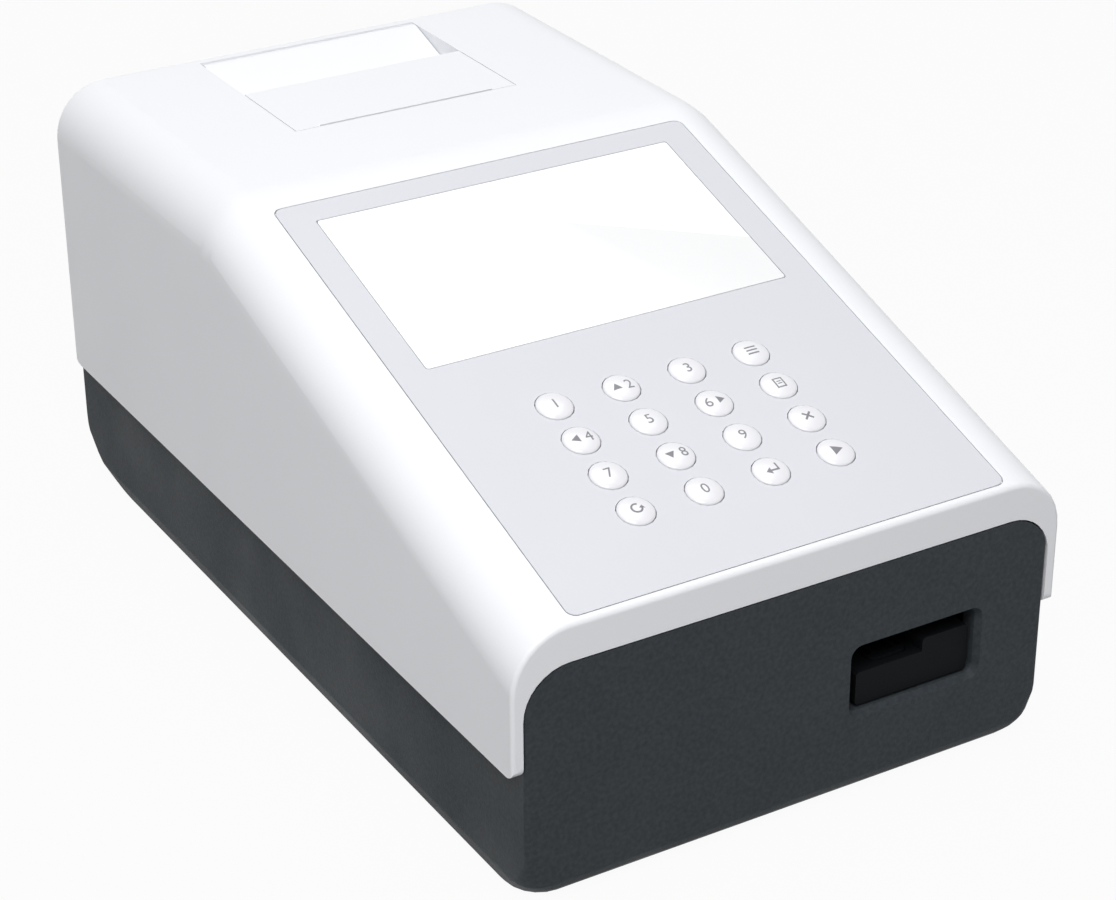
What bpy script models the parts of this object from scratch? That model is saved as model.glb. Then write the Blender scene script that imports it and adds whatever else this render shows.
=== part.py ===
"""Desktop urine strip analyzer: a white wedge cover over a charcoal base, with a keypad and
a display on the slope, a thermal printer under a door at the back, and a strip tray that a
rack drives out through the front. Metres, +X right, -Y front, +Z up."""

import math

import bmesh
import bpy
from mathutils import Matrix, Vector

# Outline of the housing
WIDTH = 0.172
BASE_LENGTH = 0.288
COVER_SETBACK = 0.0040
HEIGHT = 0.136
CREASE_HEIGHT = 0.0833
KNEE_PLACE = 0.17237
SPLIT_HEIGHT = 0.0425
ARCH_HEIGHT = 0.0726
KNEE_RADIUS = 0.030
SHOULDER_RADIUS = 0.0169
COVER_EDGE = 0.0012
COVER_REAR_EDGE = 0.0026
LOWER_FRONT_CORNER = 0.0034
LOWER_REAR_CORNER = 0.0050

# Walls and clearances
SIDE_WALL = 0.0033
ROOF_WALL = 0.0030
FRONT_WALL = 0.0030
REAR_WALL = 0.0028
BASE_WALL = 0.0030
BASE_REAR_WALL = 0.0072
LID_GAP = 0.0004
SEAT_GAP = 0.0003
OVERRUN = 0.0050
FEET_STAND = 0.0010

# Edges of the base
BASE_FRONT_RADIUS = 0.0080
BASE_REAR_RADIUS = 0.0200
BASE_SIDE_BEVEL = 0.0022
BASE_SIDE_BEVEL_HEIGHT = 0.0061
BASE_CORNER_TOP = 0.0012
BASE_CORNER_FOOT = 0.0095
BASE_CORNER_RISE = 0.0160
BASE_RIM = 0.0045

# Rounding of the meshes, in steps
CORNER_STEPS = 5
SHOULDER_STEPS = 8
ROUND_STEPS = 16
SMALL_STEPS = 10
KEY_STEPS = 12
CROWN_STEPS = 2
TROUGH_STEPS = 12
SMOOTH_ANGLE = math.radians(35)

# Control panel, measured along the slope from the crease
PANEL_HALF = 0.0678
PANEL_FOOT = 0.0022
PANEL_HEAD = 0.1720
PANEL_CORNER = 0.0028
PANEL_RECESS = 0.0012
WINDOW_HALF = 0.05805
WINDOW_FOOT = 0.0969
WINDOW_HEAD = 0.1637
WINDOW_CORNER = 0.0008
WINDOW_LEDGE = 0.0020
MODULE_DEPTH = 0.0062
MODULE_MARGIN = 0.0030

# Keys, in rows from the display down to the front
KEY_RADIUS = 0.0052
KEY_DOME = 0.0013
KEY_FLANGE = 0.0011
KEY_FLANGE_DEPTH = 0.0010
KEY_STEM_RADIUS = 0.0018
KEY_STEM = 0.0012
KEY_GAP = 0.0003
KEY_TRAVEL = 0.0008
KEY_LEFT = -0.0328
KEY_PITCH = 0.02096
KEY_TOP_ROW = 0.0717
KEY_ROW_PITCH = 0.01428
KEY_ROWS = (("key_1", "key_2", "key_3", "key_menu"),
            ("key_4", "key_5", "key_6", "key_print"),
            ("key_7", "key_8", "key_9", "key_cancel"),
            ("key_clear", "key_0", "key_enter", "key_start"))
BOARD_THICK = 0.0016
KEYPAD_MARGIN = 0.0120
SWITCH_SIZE = 0.0062
SWITCH_HEIGHT = 0.0026
POST_RADIUS = 0.0022
POST_INSET = 0.0040

# Printer door and its hinge; reaches count forward from the cover's back
DOOR_HALF = 0.03755
DOOR_THICK = 0.0022
SLOT_REACH = 0.0736
SLOT_GAP = 0.0012
SLOT_HALF = 0.02955
SCOOP_FRONT_REACH = 0.0373
SCOOP_BACK_REACH = 0.0084
SCOOP_DEPTH = 0.0095
LIP_UNDERCUT = 0.0008
HINGE_REACH = 0.0070
HINGE_BARREL = 0.0016
HINGE_PIN_RADIUS = 0.0009
HINGE_PIN_LENGTH = 0.0016
HINGE_HOLE_RADIUS = 0.0012
FIN_THICK = 0.0022
FIN_DEPTH = 0.0125
DOOR_SEAM = 0.0003

# Printer; reaches count forward from the cover's back
ROLLER_REACH = 0.0656
ROLLER_DROP = 0.0102
ROLLER_RADIUS = 0.0045
ROLLER_HALF = 0.0282
SHAFT_RADIUS = 0.0015
SHAFT_HOLE_RADIUS = 0.0018
ARM_THICK = 0.0018
ARM_RADIUS = 0.0034
GEAR_MODULE = 0.0008
GEAR_THICK = 0.0030
ROLLER_TEETH = 15
PRINTER_PINION_TEETH = 10
GEAR_BACKLASH = 0.00012
MESH_ANGLE = math.radians(-82.0)
HEAD_HALF = 0.0262
HEAD_LENGTH = 0.0130
HEAD_HEIGHT = 0.0050
HEAD_BAR_HEIGHT = 0.0012
HEAD_BAR_LENGTH = 0.0030
ROLL_RADIUS = 0.0195
ROLL_CORE_RADIUS = 0.0062
ROLL_HALF = 0.0285
ROLL_REACH = 0.0340
ROLL_DROP = 0.0365
TROUGH_THICK = 0.0020
TROUGH_RUN = 0.0010
CHEEK_PLACE = 0.0386
CHEEK_THICK = 0.0020
CHEEK_DROP = 0.0135
CHEEK_FOOT_DROP = 0.0330
CHEEK_FRONT_REACH = 0.0750
CHEEK_BACK_REACH = 0.0110
SHELF_THICK = 0.0025
EAR_REACHES = (0.0480, 0.0180)
EAR_WIDTH = 0.0080
EAR_LENGTH = 0.0100
EAR_THICK = 0.0025
PRINTER_MOTOR_RADIUS = 0.0075
PRINTER_MOTOR_LENGTH = 0.0180

# Strip opening and tray; places count back from the front face
OPENING_LEFT = 0.0176
OPENING_RIGHT = 0.0614
OPENING_FOOT = 0.0263
OPENING_HEAD = 0.0490
OPENING_RADIUS = 0.0036
BEZEL_DEPTH = 0.0070
BEZEL_WALL = 0.0020
BEZEL_FLARE = 0.0010
BEZEL_FLARE_DEPTH = 0.0022
TRAY_LEFT = 0.0216
TRAY_RIGHT = 0.0589
TRAY_FRONT = 0.0028
TRAY_LENGTH = 0.1500
TRAY_FOOT = 0.0282
TRAY_DECK = 0.0385
TRAY_STEP = 0.0435
TRAY_STEP_TOP = 0.0425
TRAY_TRAVEL = 0.0900
TRAY_EDGE = 0.0008
INSERT_MARGIN = 0.0025
INSERT_DEPTH = 0.0030
INSERT_PROUD = 0.0008
STRIP_WIDTH = 0.0056
STRIP_DEPTH = 0.0012
STRIP_LENGTH = 0.1180
DRAIN_WIDTH = 0.0022
DRAIN_DEPTH = 0.0018
REFERENCE_LENGTH = 0.0080
RACK_MODULE = 0.0010
RACK_FRONT = 0.0350
RACK_SPARE = 0.0230
RACK_FOOT = 0.0290
RACK_HEIGHT = 0.0050
RACK_BACK = 0.0018
TRAY_PINION_TEETH = 16
TRAY_PINION_PLACE = 0.0520
TRAY_MOTOR_RADIUS = 0.0125
TRAY_MOTOR_HEIGHT = 0.0150
GUIDE_THICK = 0.0022
GUIDE_BACK = 0.1660
GUIDE_LEG = 0.0030

# Reader over the tray
READER_FRONT = 0.0700
READER_LENGTH = 0.0480
READER_WALL = 0.0020
READER_HEIGHT = 0.0240
READER_CLEAR = 0.0030
LENS_RADIUS = 0.0060
LENS_LENGTH = 0.0080

# Boards, sockets and fixings
MAIN_LEFT = -0.0660
MAIN_RIGHT = 0.0440
MAIN_FRONT_REACH = 0.1160
MAIN_BACK_REACH = 0.0100
MAIN_HEIGHT = 0.0170
STANDOFF_RADIUS = 0.0032
STANDOFF_INSET = 0.0050
POWER_INLET_PLACE = -0.0580
POWER_SWITCH_PLACE = -0.0300
SERIAL_PLACE = 0.0020
USB_PLACE = 0.0330
SWITCH_CENTRE = 0.0298
INLET_HALF = 0.0055
INLET_DEPTH = 0.0120
INLET_BORE = 0.0032
INLET_PIN = 0.0010
USB_HALF = 0.0060
USB_HEIGHT_HALF = 0.0055
USB_DEPTH = 0.0140
USB_WALL = 0.0010
USB_TONGUE_HALF = 0.0028
USB_TONGUE_HEIGHT_HALF = 0.0016
SERIAL_HALF = 0.0154
SERIAL_HEIGHT_HALF = 0.0062
SERIAL_FLANGE = 0.0010
SERIAL_SHELL_HALF = 0.0083
SERIAL_SHELL_HEIGHT_HALF = 0.0042
SERIAL_SHELL_TAPER = 0.0010
SERIAL_SHELL_DEPTH = 0.0058
SERIAL_BODY_DEPTH = 0.0100
SWITCH_WIDTH_HALF = 0.0070
SWITCH_TALL_HALF = 0.0105
SWITCH_RIM = 0.0015
SWITCH_BODY_DEPTH = 0.0140
ROCKER_TILT = math.radians(8.0)
ROCKER_RADIUS = 0.0120
ROCKER_THICK = 0.0050
FOOT_RADIUS = 0.0070
FOOT_INSET_X = 0.0160
FOOT_INSET_Y = 0.0260
FOOT_RECESS = 0.0012
COLUMN_RADIUS = 0.0040
COLUMN_PLACE = 0.0710
COLUMN_FRONT = 0.0220
COLUMN_BACK_REACH = 0.0180
PILOT_RADIUS = 0.0018
PILOT_DEPTH = 0.0120
SCREW_RADIUS = 0.0015
SCREW_HEAD_RADIUS = 0.0029
SCREW_HEAD_HEIGHT = 0.0022
SCREW_RECESS_RADIUS = 0.0034
SCREW_RECESS = 0.0080
SCREW_REACH = 0.0080
BOSS_TOP = 0.0390
VENT_LEFT = -0.0600
VENT_FRONT = 0.0600
VENT_LENGTH = 0.0340
VENT_WIDTH = 0.0026
VENT_PITCH = 0.0070
VENTS = 7

# Shares of a size that go with it
slot_round_share = 0.45
column_roof_share = 0.6
gear_root_share = 1.25
gear_tip_share = 0.95
foot_inset_share = 1.5
inlet_bore_share = 0.8
inlet_pin_share = 0.9
chip_shares = ((0.30, 0.35, 0.20, 0.22, 0.02), (0.62, 0.25, 0.12, 0.14, 0.02),
               (0.80, 0.45, 0.08, 0.26, 0.08), (0.12, 0.55, 0.08, 0.10, 0.12),
               (0.45, 0.10, 0.24, 0.05, 0.07))

# Values that follow from the sizes above
FRONT = -BASE_LENGTH / 2
BASE_BACK = BASE_LENGTH / 2
COVER_LENGTH = BASE_LENGTH - COVER_SETBACK
COVER_BACK = FRONT + COVER_LENGTH
SLOPE = math.atan2(HEIGHT - CREASE_HEIGHT, KNEE_PLACE)
SLOT_PLACE = COVER_LENGTH - SLOT_REACH
SCOOP_FRONT = COVER_LENGTH - SCOOP_FRONT_REACH
SCOOP_BACK = COVER_LENGTH - SCOOP_BACK_REACH
CHEEK_FRONT = COVER_LENGTH - CHEEK_FRONT_REACH
CHEEK_BACK = COVER_LENGTH - CHEEK_BACK_REACH
EAR_PLACES = [COVER_LENGTH - reach for reach in EAR_REACHES]
COLUMN_BACK = COVER_LENGTH - COLUMN_BACK_REACH
MAIN_FRONT = BASE_LENGTH - MAIN_FRONT_REACH
MAIN_BACK = BASE_LENGTH - MAIN_BACK_REACH
BASE_HALF = WIDTH / 2 - SIDE_WALL - LID_GAP
INNER_HALF = WIDTH / 2 - SIDE_WALL
INNER_RADIUS = SHOULDER_RADIUS - SIDE_WALL
FLOOR = FEET_STAND + BASE_WALL
PANEL_FRAME = Matrix.Translation((0, FRONT, CREASE_HEIGHT)) @ Matrix.Rotation(SLOPE, 4, "X")
HINGE_Y = COVER_BACK - HINGE_REACH
HINGE_Z = HEIGHT - HINGE_BARREL
ROLLER_Y = COVER_BACK - ROLLER_REACH
ROLLER_Z = HEIGHT - ROLLER_DROP
ROLLER_PITCH = GEAR_MODULE * ROLLER_TEETH / 2
PRINTER_PINION_PITCH = GEAR_MODULE * PRINTER_PINION_TEETH / 2
MESH_REACH = ROLLER_PITCH + PRINTER_PINION_PITCH
PRINTER_PINION_Y = ROLLER_Y + MESH_REACH * math.cos(MESH_ANGLE)
PRINTER_PINION_Z = ROLLER_Z + MESH_REACH * math.sin(MESH_ANGLE)
ARM_INNER = ROLLER_HALF + SEAT_GAP
ROLLER_GEAR_LEFT = ARM_INNER + ARM_THICK + SEAT_GAP
ROLL_Y = COVER_BACK - ROLL_REACH
ROLL_Z = HEIGHT - ROLL_DROP
RACK_PITCH_X = TRAY_LEFT + RACK_MODULE
RACK_LENGTH = TRAY_TRAVEL + RACK_SPARE
TRAY_PINION_PITCH = RACK_MODULE * TRAY_PINION_TEETH / 2
TRAY_PINION_X = RACK_PITCH_X - TRAY_PINION_PITCH
TRAY_PINION_Y = FRONT + TRAY_PINION_PLACE
KEY_UNDER = -PANEL_RECESS - (ROOF_WALL - PANEL_RECESS) - KEY_GAP
SWITCH_TOP = KEY_UNDER - KEY_FLANGE_DEPTH - KEY_STEM - KEY_TRAVEL - SEAT_GAP
KEYPAD_TOP = SWITCH_TOP - SWITCH_HEIGHT


def clear_scene():
    for thing in list(bpy.data.objects):
        bpy.data.objects.remove(thing, do_unlink=True)


def make_material(name, colour, roughness, metallic=0.0):
    material = bpy.data.materials.new(name)
    material.use_nodes = True
    shader = material.node_tree.nodes["Principled BSDF"]
    shader.inputs["Base Color"].default_value = (*colour, 1.0)
    shader.inputs["Roughness"].default_value = roughness
    shader.inputs["Metallic"].default_value = metallic
    return material


def make_materials():
    return {
        "cover": make_material("cover_plastic", (0.86, 0.87, 0.89), 0.42),
        "base": make_material("base_plastic", (0.045, 0.052, 0.058), 0.55),
        "panel": make_material("panel_film", (0.70, 0.70, 0.75), 0.38),
        "window": make_material("window_pane", (0.93, 0.94, 0.95), 0.12),
        "key": make_material("key_plastic", (0.82, 0.82, 0.84), 0.30),
        "board": make_material("circuit_board", (0.03, 0.19, 0.08), 0.50),
        "metal": make_material("steel", (0.60, 0.60, 0.62), 0.30, 1.0),
        "black": make_material("black_plastic", (0.02, 0.02, 0.022), 0.45),
        "white": make_material("tray_plastic", (0.80, 0.80, 0.80), 0.45),
        "gear": make_material("gear_nylon", (0.85, 0.84, 0.78), 0.50),
        "rubber": make_material("rubber", (0.03, 0.03, 0.03), 0.85),
        "paper": make_material("thermal_paper", (0.92, 0.92, 0.90), 0.80),
    }


def arc(centre_a, centre_b, radius, start, sweep, steps):
    """Points of an arc in a plane, its ends included."""
    turns = [start + sweep * step / steps for step in range(steps + 1)]
    return [(centre_a + radius * math.cos(turn), centre_b + radius * math.sin(turn)) for turn in turns]


def circle(centre_a, centre_b, radius, steps):
    return arc(centre_a, centre_b, radius, 0, math.tau, steps)[:-1]


def rounded_box_outline(low, high, radius, steps=CORNER_STEPS):
    """A rectangle with rounded corners, from its low and high corners."""
    right, top = high[0] - radius, high[1] - radius
    left, foot = low[0] + radius, low[1] + radius
    quarter = math.pi / 2
    points = arc(right, foot, radius, -quarter, quarter, steps)
    points += arc(right, top, radius, 0, quarter, steps)
    points += arc(left, top, radius, quarter, quarter, steps)
    points += arc(left, foot, radius, math.pi, quarter, steps)
    return points


def arch_outline(half, foot, top, radius, steps=SHOULDER_STEPS):
    """A doorway shape: square at the foot, round at the shoulders."""
    quarter = math.pi / 2
    points = [(half, foot)]
    points += arc(half - radius, top - radius, radius, 0, quarter, steps)
    points += arc(radius - half, top - radius, radius, quarter, quarter, steps)
    points.append((-half, foot))
    return points


def placed(axis, a, b, along):
    """A point of an outline: (y, z) for axis X, (x, z) for axis Y, (x, y) for axis Z."""
    if axis == "X":
        return (along, a, b)
    if axis == "Y":
        return (a, along, b)
    return (a, b, along)


def loft(rings):
    """A closed solid through rings with the same number of points, capped at both ends."""
    shape = bmesh.new()
    rows = [[shape.verts.new(point) for point in ring] for ring in rings]
    count = len(rows[0])
    for lower, upper in zip(rows, rows[1:]):
        for index in range(count):
            after = (index + 1) % count
            shape.faces.new((lower[index], lower[after], upper[after], upper[index]))
    shape.faces.new(list(reversed(rows[0])))
    shape.faces.new(rows[-1])
    bmesh.ops.recalc_face_normals(shape, faces=shape.faces)
    return shape


def prism(outline, axis, low, high):
    return loft([[placed(axis, a, b, end) for a, b in outline] for end in (low, high)])


def box(low, high):
    outline = [(low[0], low[1]), (high[0], low[1]), (high[0], high[1]), (low[0], high[1])]
    return prism(outline, "Z", low[2], high[2])


def rod(radius, axis, centre_a, centre_b, low, high, steps=ROUND_STEPS):
    return prism(circle(centre_a, centre_b, radius, steps), axis, low, high)


def turned(profile, steps=ROUND_STEPS):
    """A solid of revolution round Z; the profile is (radius, height) and its ends lie on the axis."""
    shape = bmesh.new()
    foot = shape.verts.new((0, 0, profile[0][1]))
    head = shape.verts.new((0, 0, profile[-1][1]))
    rows = []
    for radius, height in profile[1:-1]:
        rows.append([shape.verts.new((a, b, height)) for a, b in circle(0, 0, radius, steps)])
    for index in range(steps):
        after = (index + 1) % steps
        shape.faces.new((foot, rows[0][after], rows[0][index]))
        shape.faces.new((head, rows[-1][index], rows[-1][after]))
        for lower, upper in zip(rows, rows[1:]):
            shape.faces.new((lower[index], lower[after], upper[after], upper[index]))
    bmesh.ops.recalc_face_normals(shape, faces=shape.faces)
    return shape


def gathered(shapes):
    """Several closed shapes as one mesh of separate bodies."""
    whole = bmesh.new()
    for shape in shapes:
        mesh = bpy.data.meshes.new("shape")
        shape.to_mesh(mesh)
        whole.from_mesh(mesh)
        bpy.data.meshes.remove(mesh)
        shape.free()
    return whole


def temporary_object(shape):
    mesh = bpy.data.meshes.new("tool")
    shape.to_mesh(mesh)
    shape.free()
    tool = bpy.data.objects.new("tool", mesh)
    bpy.context.collection.objects.link(tool)
    return tool


def solid(name, shape, material, steps=(), origin=(0, 0, 0), parent=None):
    """One named piece: shapes are joined or cut in the order given, then its origin is set."""
    piece = temporary_object(shape)
    tools = []
    for step, other in steps:
        tool = temporary_object(other)
        tools.append(tool)
        modifier = piece.modifiers.new(step, "BOOLEAN")
        modifier.operation = "UNION" if step == "join" else "DIFFERENCE"
        modifier.solver = "EXACT"
        modifier.object = tool
    if steps:
        graph = bpy.context.evaluated_depsgraph_get()
        mesh = bpy.data.meshes.new_from_object(piece.evaluated_get(graph))
        piece.modifiers.clear()
        piece.data = mesh
    for tool in tools:
        bpy.data.objects.remove(tool, do_unlink=True)
    piece.name = name
    piece.data.name = name
    piece.data.transform(Matrix.Translation(-Vector(origin)))
    piece.location = origin
    piece.parent = parent
    piece.data.materials.clear()
    piece.data.materials.append(material)
    piece.data.shade_smooth()
    piece.data.set_sharp_from_angle(angle=SMOOTH_ANGLE)
    return piece


def round_in(distance, radius):
    """How far a rounded edge has drawn in, a distance away from the face it ends on."""
    if distance >= radius:
        return 0
    return radius - math.sqrt(radius ** 2 - (radius - distance) ** 2)


def roof_height(along):
    """The top of the cover's side profile: slope, knee and flat back."""
    tangent = KNEE_RADIUS * math.tan(SLOPE / 2)
    knee = (HEIGHT - CREASE_HEIGHT) / math.tan(SLOPE)
    if along >= knee + tangent:
        return HEIGHT
    if along <= knee - tangent * math.cos(SLOPE):
        return CREASE_HEIGHT + along * math.tan(SLOPE)
    back = knee + tangent - along
    return HEIGHT - KNEE_RADIUS + math.sqrt(KNEE_RADIUS ** 2 - back ** 2)


def cover_stations():
    """Distances from the front face at which the cover's section is drawn."""
    turns = [math.pi / 2 * step / CORNER_STEPS for step in range(CORNER_STEPS + 1)]
    tangent = KNEE_RADIUS * math.tan(SLOPE / 2)
    knee = (HEIGHT - CREASE_HEIGHT) / math.tan(SLOPE)
    front = [COVER_EDGE * (1 - math.cos(turn)) for turn in turns]
    front += [LOWER_FRONT_CORNER * (1 - math.cos(turn)) for turn in turns[3:]]
    middle = [knee - tangent + 2 * tangent * step / CORNER_STEPS for step in range(CORNER_STEPS + 1)]
    back = [COVER_LENGTH - LOWER_REAR_CORNER * (1 - math.cos(turn)) for turn in reversed(turns)]
    back += [COVER_LENGTH - COVER_REAR_EDGE * (1 - math.cos(turn)) for turn in reversed(turns[:-1])]
    return sorted(set(front + middle + back))


def cover_ring(along):
    inset = round_in(along, COVER_EDGE) + round_in(COVER_LENGTH - along, COVER_REAR_EDGE)
    rise = round_in(along, LOWER_FRONT_CORNER) + round_in(COVER_LENGTH - along, LOWER_REAR_CORNER)
    outline = arch_outline(WIDTH / 2 - inset, SPLIT_HEIGHT + rise, roof_height(along) - inset,
                           SHOULDER_RADIUS - inset)
    return [placed("Y", x, z, FRONT + along) for x, z in outline]


def cavity_ring(along):
    outline = arch_outline(INNER_HALF, SPLIT_HEIGHT - OVERRUN,
                           roof_height(along) - ROOF_WALL / math.cos(SLOPE), INNER_RADIUS)
    return [placed("Y", x, z, FRONT + along) for x, z in outline]


def base_ring(height, wall=0):
    """A level section of the base, drawn in by a wall where the inside is cut."""
    up = height - FEET_STAND
    front = round_in(up, BASE_FRONT_RADIUS) + wall
    back = round_in(up, BASE_REAR_RADIUS) + wall * BASE_REAR_WALL / BASE_WALL
    side = BASE_SIDE_BEVEL * max(0, 1 - up / BASE_SIDE_BEVEL_HEIGHT) + wall
    reach = min(1, up / BASE_CORNER_RISE)
    easing = reach * reach * (3 - 2 * reach)
    corner = BASE_CORNER_FOOT + (BASE_CORNER_TOP - BASE_CORNER_FOOT) * easing
    low = (side - BASE_HALF, FRONT + front)
    high = (BASE_HALF - side, BASE_BACK - back)
    return [(x, y, height) for x, y in rounded_box_outline(low, high, corner)]


def base_levels():
    turns = [math.pi / 2 * step / CORNER_STEPS for step in range(CORNER_STEPS + 1)]
    levels = [BASE_FRONT_RADIUS * (1 - math.cos(turn)) for turn in turns]
    levels += [BASE_REAR_RADIUS * (1 - math.cos(turn)) for turn in turns]
    levels += [BASE_SIDE_BEVEL_HEIGHT, BASE_CORNER_RISE]
    return [FEET_STAND + level for level in sorted(set(levels))]


def key_places():
    """Each key's name with its place on the panel."""
    places = []
    for row, names in enumerate(KEY_ROWS):
        for column, name in enumerate(names):
            x = KEY_LEFT + KEY_PITCH * column
            along = KEY_TOP_ROW - KEY_ROW_PITCH * row
            places.append((name, x, along))
    return places


def on_panel(shape):
    """Moves a shape from the panel's own frame to the slope."""
    shape.transform(PANEL_FRAME)
    return shape


def column_places():
    return [(side * COLUMN_PLACE, FRONT + along)
            for side in (-1, 1) for along in (COLUMN_FRONT, COLUMN_BACK)]


def keypad_corners():
    left = KEY_LEFT - KEYPAD_MARGIN + POST_INSET
    right = KEY_LEFT + 3 * KEY_PITCH + KEYPAD_MARGIN - POST_INSET
    top = KEY_TOP_ROW + KEYPAD_MARGIN - POST_INSET
    foot = KEY_TOP_ROW - 3 * KEY_ROW_PITCH - KEYPAD_MARGIN + POST_INSET
    return [(x, along) for x in (left, right) for along in (foot, top)]


def make_top_cover(materials):
    """The white shell: wedge roof, arched front, door opening, recess and holes of the panel."""
    ends = [FRONT_WALL, COVER_LENGTH - REAR_WALL]
    inside = [place for place in cover_stations() if ends[0] < place < ends[1]]
    middle = [place for place in inside if LOWER_FRONT_CORNER < place < COVER_LENGTH - LOWER_REAR_CORNER]
    steps = [("cut", loft([cavity_ring(place) for place in [ends[0]] + middle + [ends[1]]]))]
    arch = arch_outline(INNER_HALF, SPLIT_HEIGHT - OVERRUN, ARCH_HEIGHT, INNER_RADIUS)
    steps.append(("cut", prism(arch, "Y", FRONT - OVERRUN, FRONT + FRONT_WALL + OVERRUN)))
    seat = -ROOF_WALL - SEAT_GAP
    posts = []
    for x, along in keypad_corners():
        posts.append(on_panel(rod(POST_RADIUS, "Z", x, along, KEYPAD_TOP + SEAT_GAP, seat + SEAT_GAP * 2,
                                  SMALL_STEPS)))
    for x, y in column_places():
        roof = roof_height(y - FRONT - COLUMN_RADIUS) - ROOF_WALL * column_roof_share
        posts.append(rod(COLUMN_RADIUS, "Z", x, y, BOSS_TOP + SEAT_GAP, roof, SMALL_STEPS))
    ear_top = HEIGHT - CHEEK_DROP
    for side in (-1, 1):
        x = side * (CHEEK_PLACE + EAR_LENGTH / 2)
        for place in EAR_PLACES:
            posts.append(rod(POST_RADIUS, "Z", x, FRONT + place, ear_top + SEAT_GAP,
                             HEIGHT - ROOF_WALL / 2, SMALL_STEPS))
        inner = side * (DOOR_HALF + DOOR_SEAM)
        outer = inner + side * FIN_THICK
        low = (min(inner, outer), FRONT + SCOOP_FRONT - FIN_THICK, HEIGHT - FIN_DEPTH)
        high = (max(inner, outer), HINGE_Y + HINGE_BARREL * 2, HEIGHT - ROOF_WALL / 2)
        posts.append(box(low, high))
    steps += [("join", post) for post in posts]
    low = (-PANEL_HALF - SEAT_GAP, PANEL_FOOT - SEAT_GAP)
    high = (PANEL_HALF + SEAT_GAP, PANEL_HEAD + SEAT_GAP)
    recess = rounded_box_outline(low, high, PANEL_CORNER)
    steps.append(("cut", on_panel(prism(recess, "Z", -PANEL_RECESS, OVERRUN))))
    low = (-WINDOW_HALF + WINDOW_LEDGE, WINDOW_FOOT + WINDOW_LEDGE)
    high = (WINDOW_HALF - WINDOW_LEDGE, WINDOW_HEAD - WINDOW_LEDGE)
    aperture = rounded_box_outline(low, high, WINDOW_CORNER, 2)
    steps.append(("cut", on_panel(prism(aperture, "Z", -OVERRUN, OVERRUN))))
    holes = [on_panel(rod(KEY_RADIUS + KEY_GAP, "Z", x, along, -OVERRUN, OVERRUN))
             for _, x, along in key_places()]
    steps.append(("cut", gathered(holes)))
    low = (-DOOR_HALF - DOOR_SEAM, FRONT + SLOT_PLACE, HEIGHT - OVERRUN)
    high = (DOOR_HALF + DOOR_SEAM, HINGE_Y + HINGE_BARREL + DOOR_SEAM, HEIGHT + OVERRUN)
    steps.append(("cut", box(low, high)))
    reach = DOOR_HALF + FIN_THICK * 2
    steps.append(("cut", rod(HINGE_HOLE_RADIUS, "X", HINGE_Y, HINGE_Z, -reach, reach, SMALL_STEPS)))
    pilots = [rod(PILOT_RADIUS, "Z", x, y, BOSS_TOP - OVERRUN, BOSS_TOP + PILOT_DEPTH, SMALL_STEPS)
              for x, y in column_places()]
    steps.append(("cut", gathered(pilots)))
    return solid("top_cover", loft([cover_ring(place) for place in cover_stations()]),
                 materials["cover"], steps)


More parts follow.
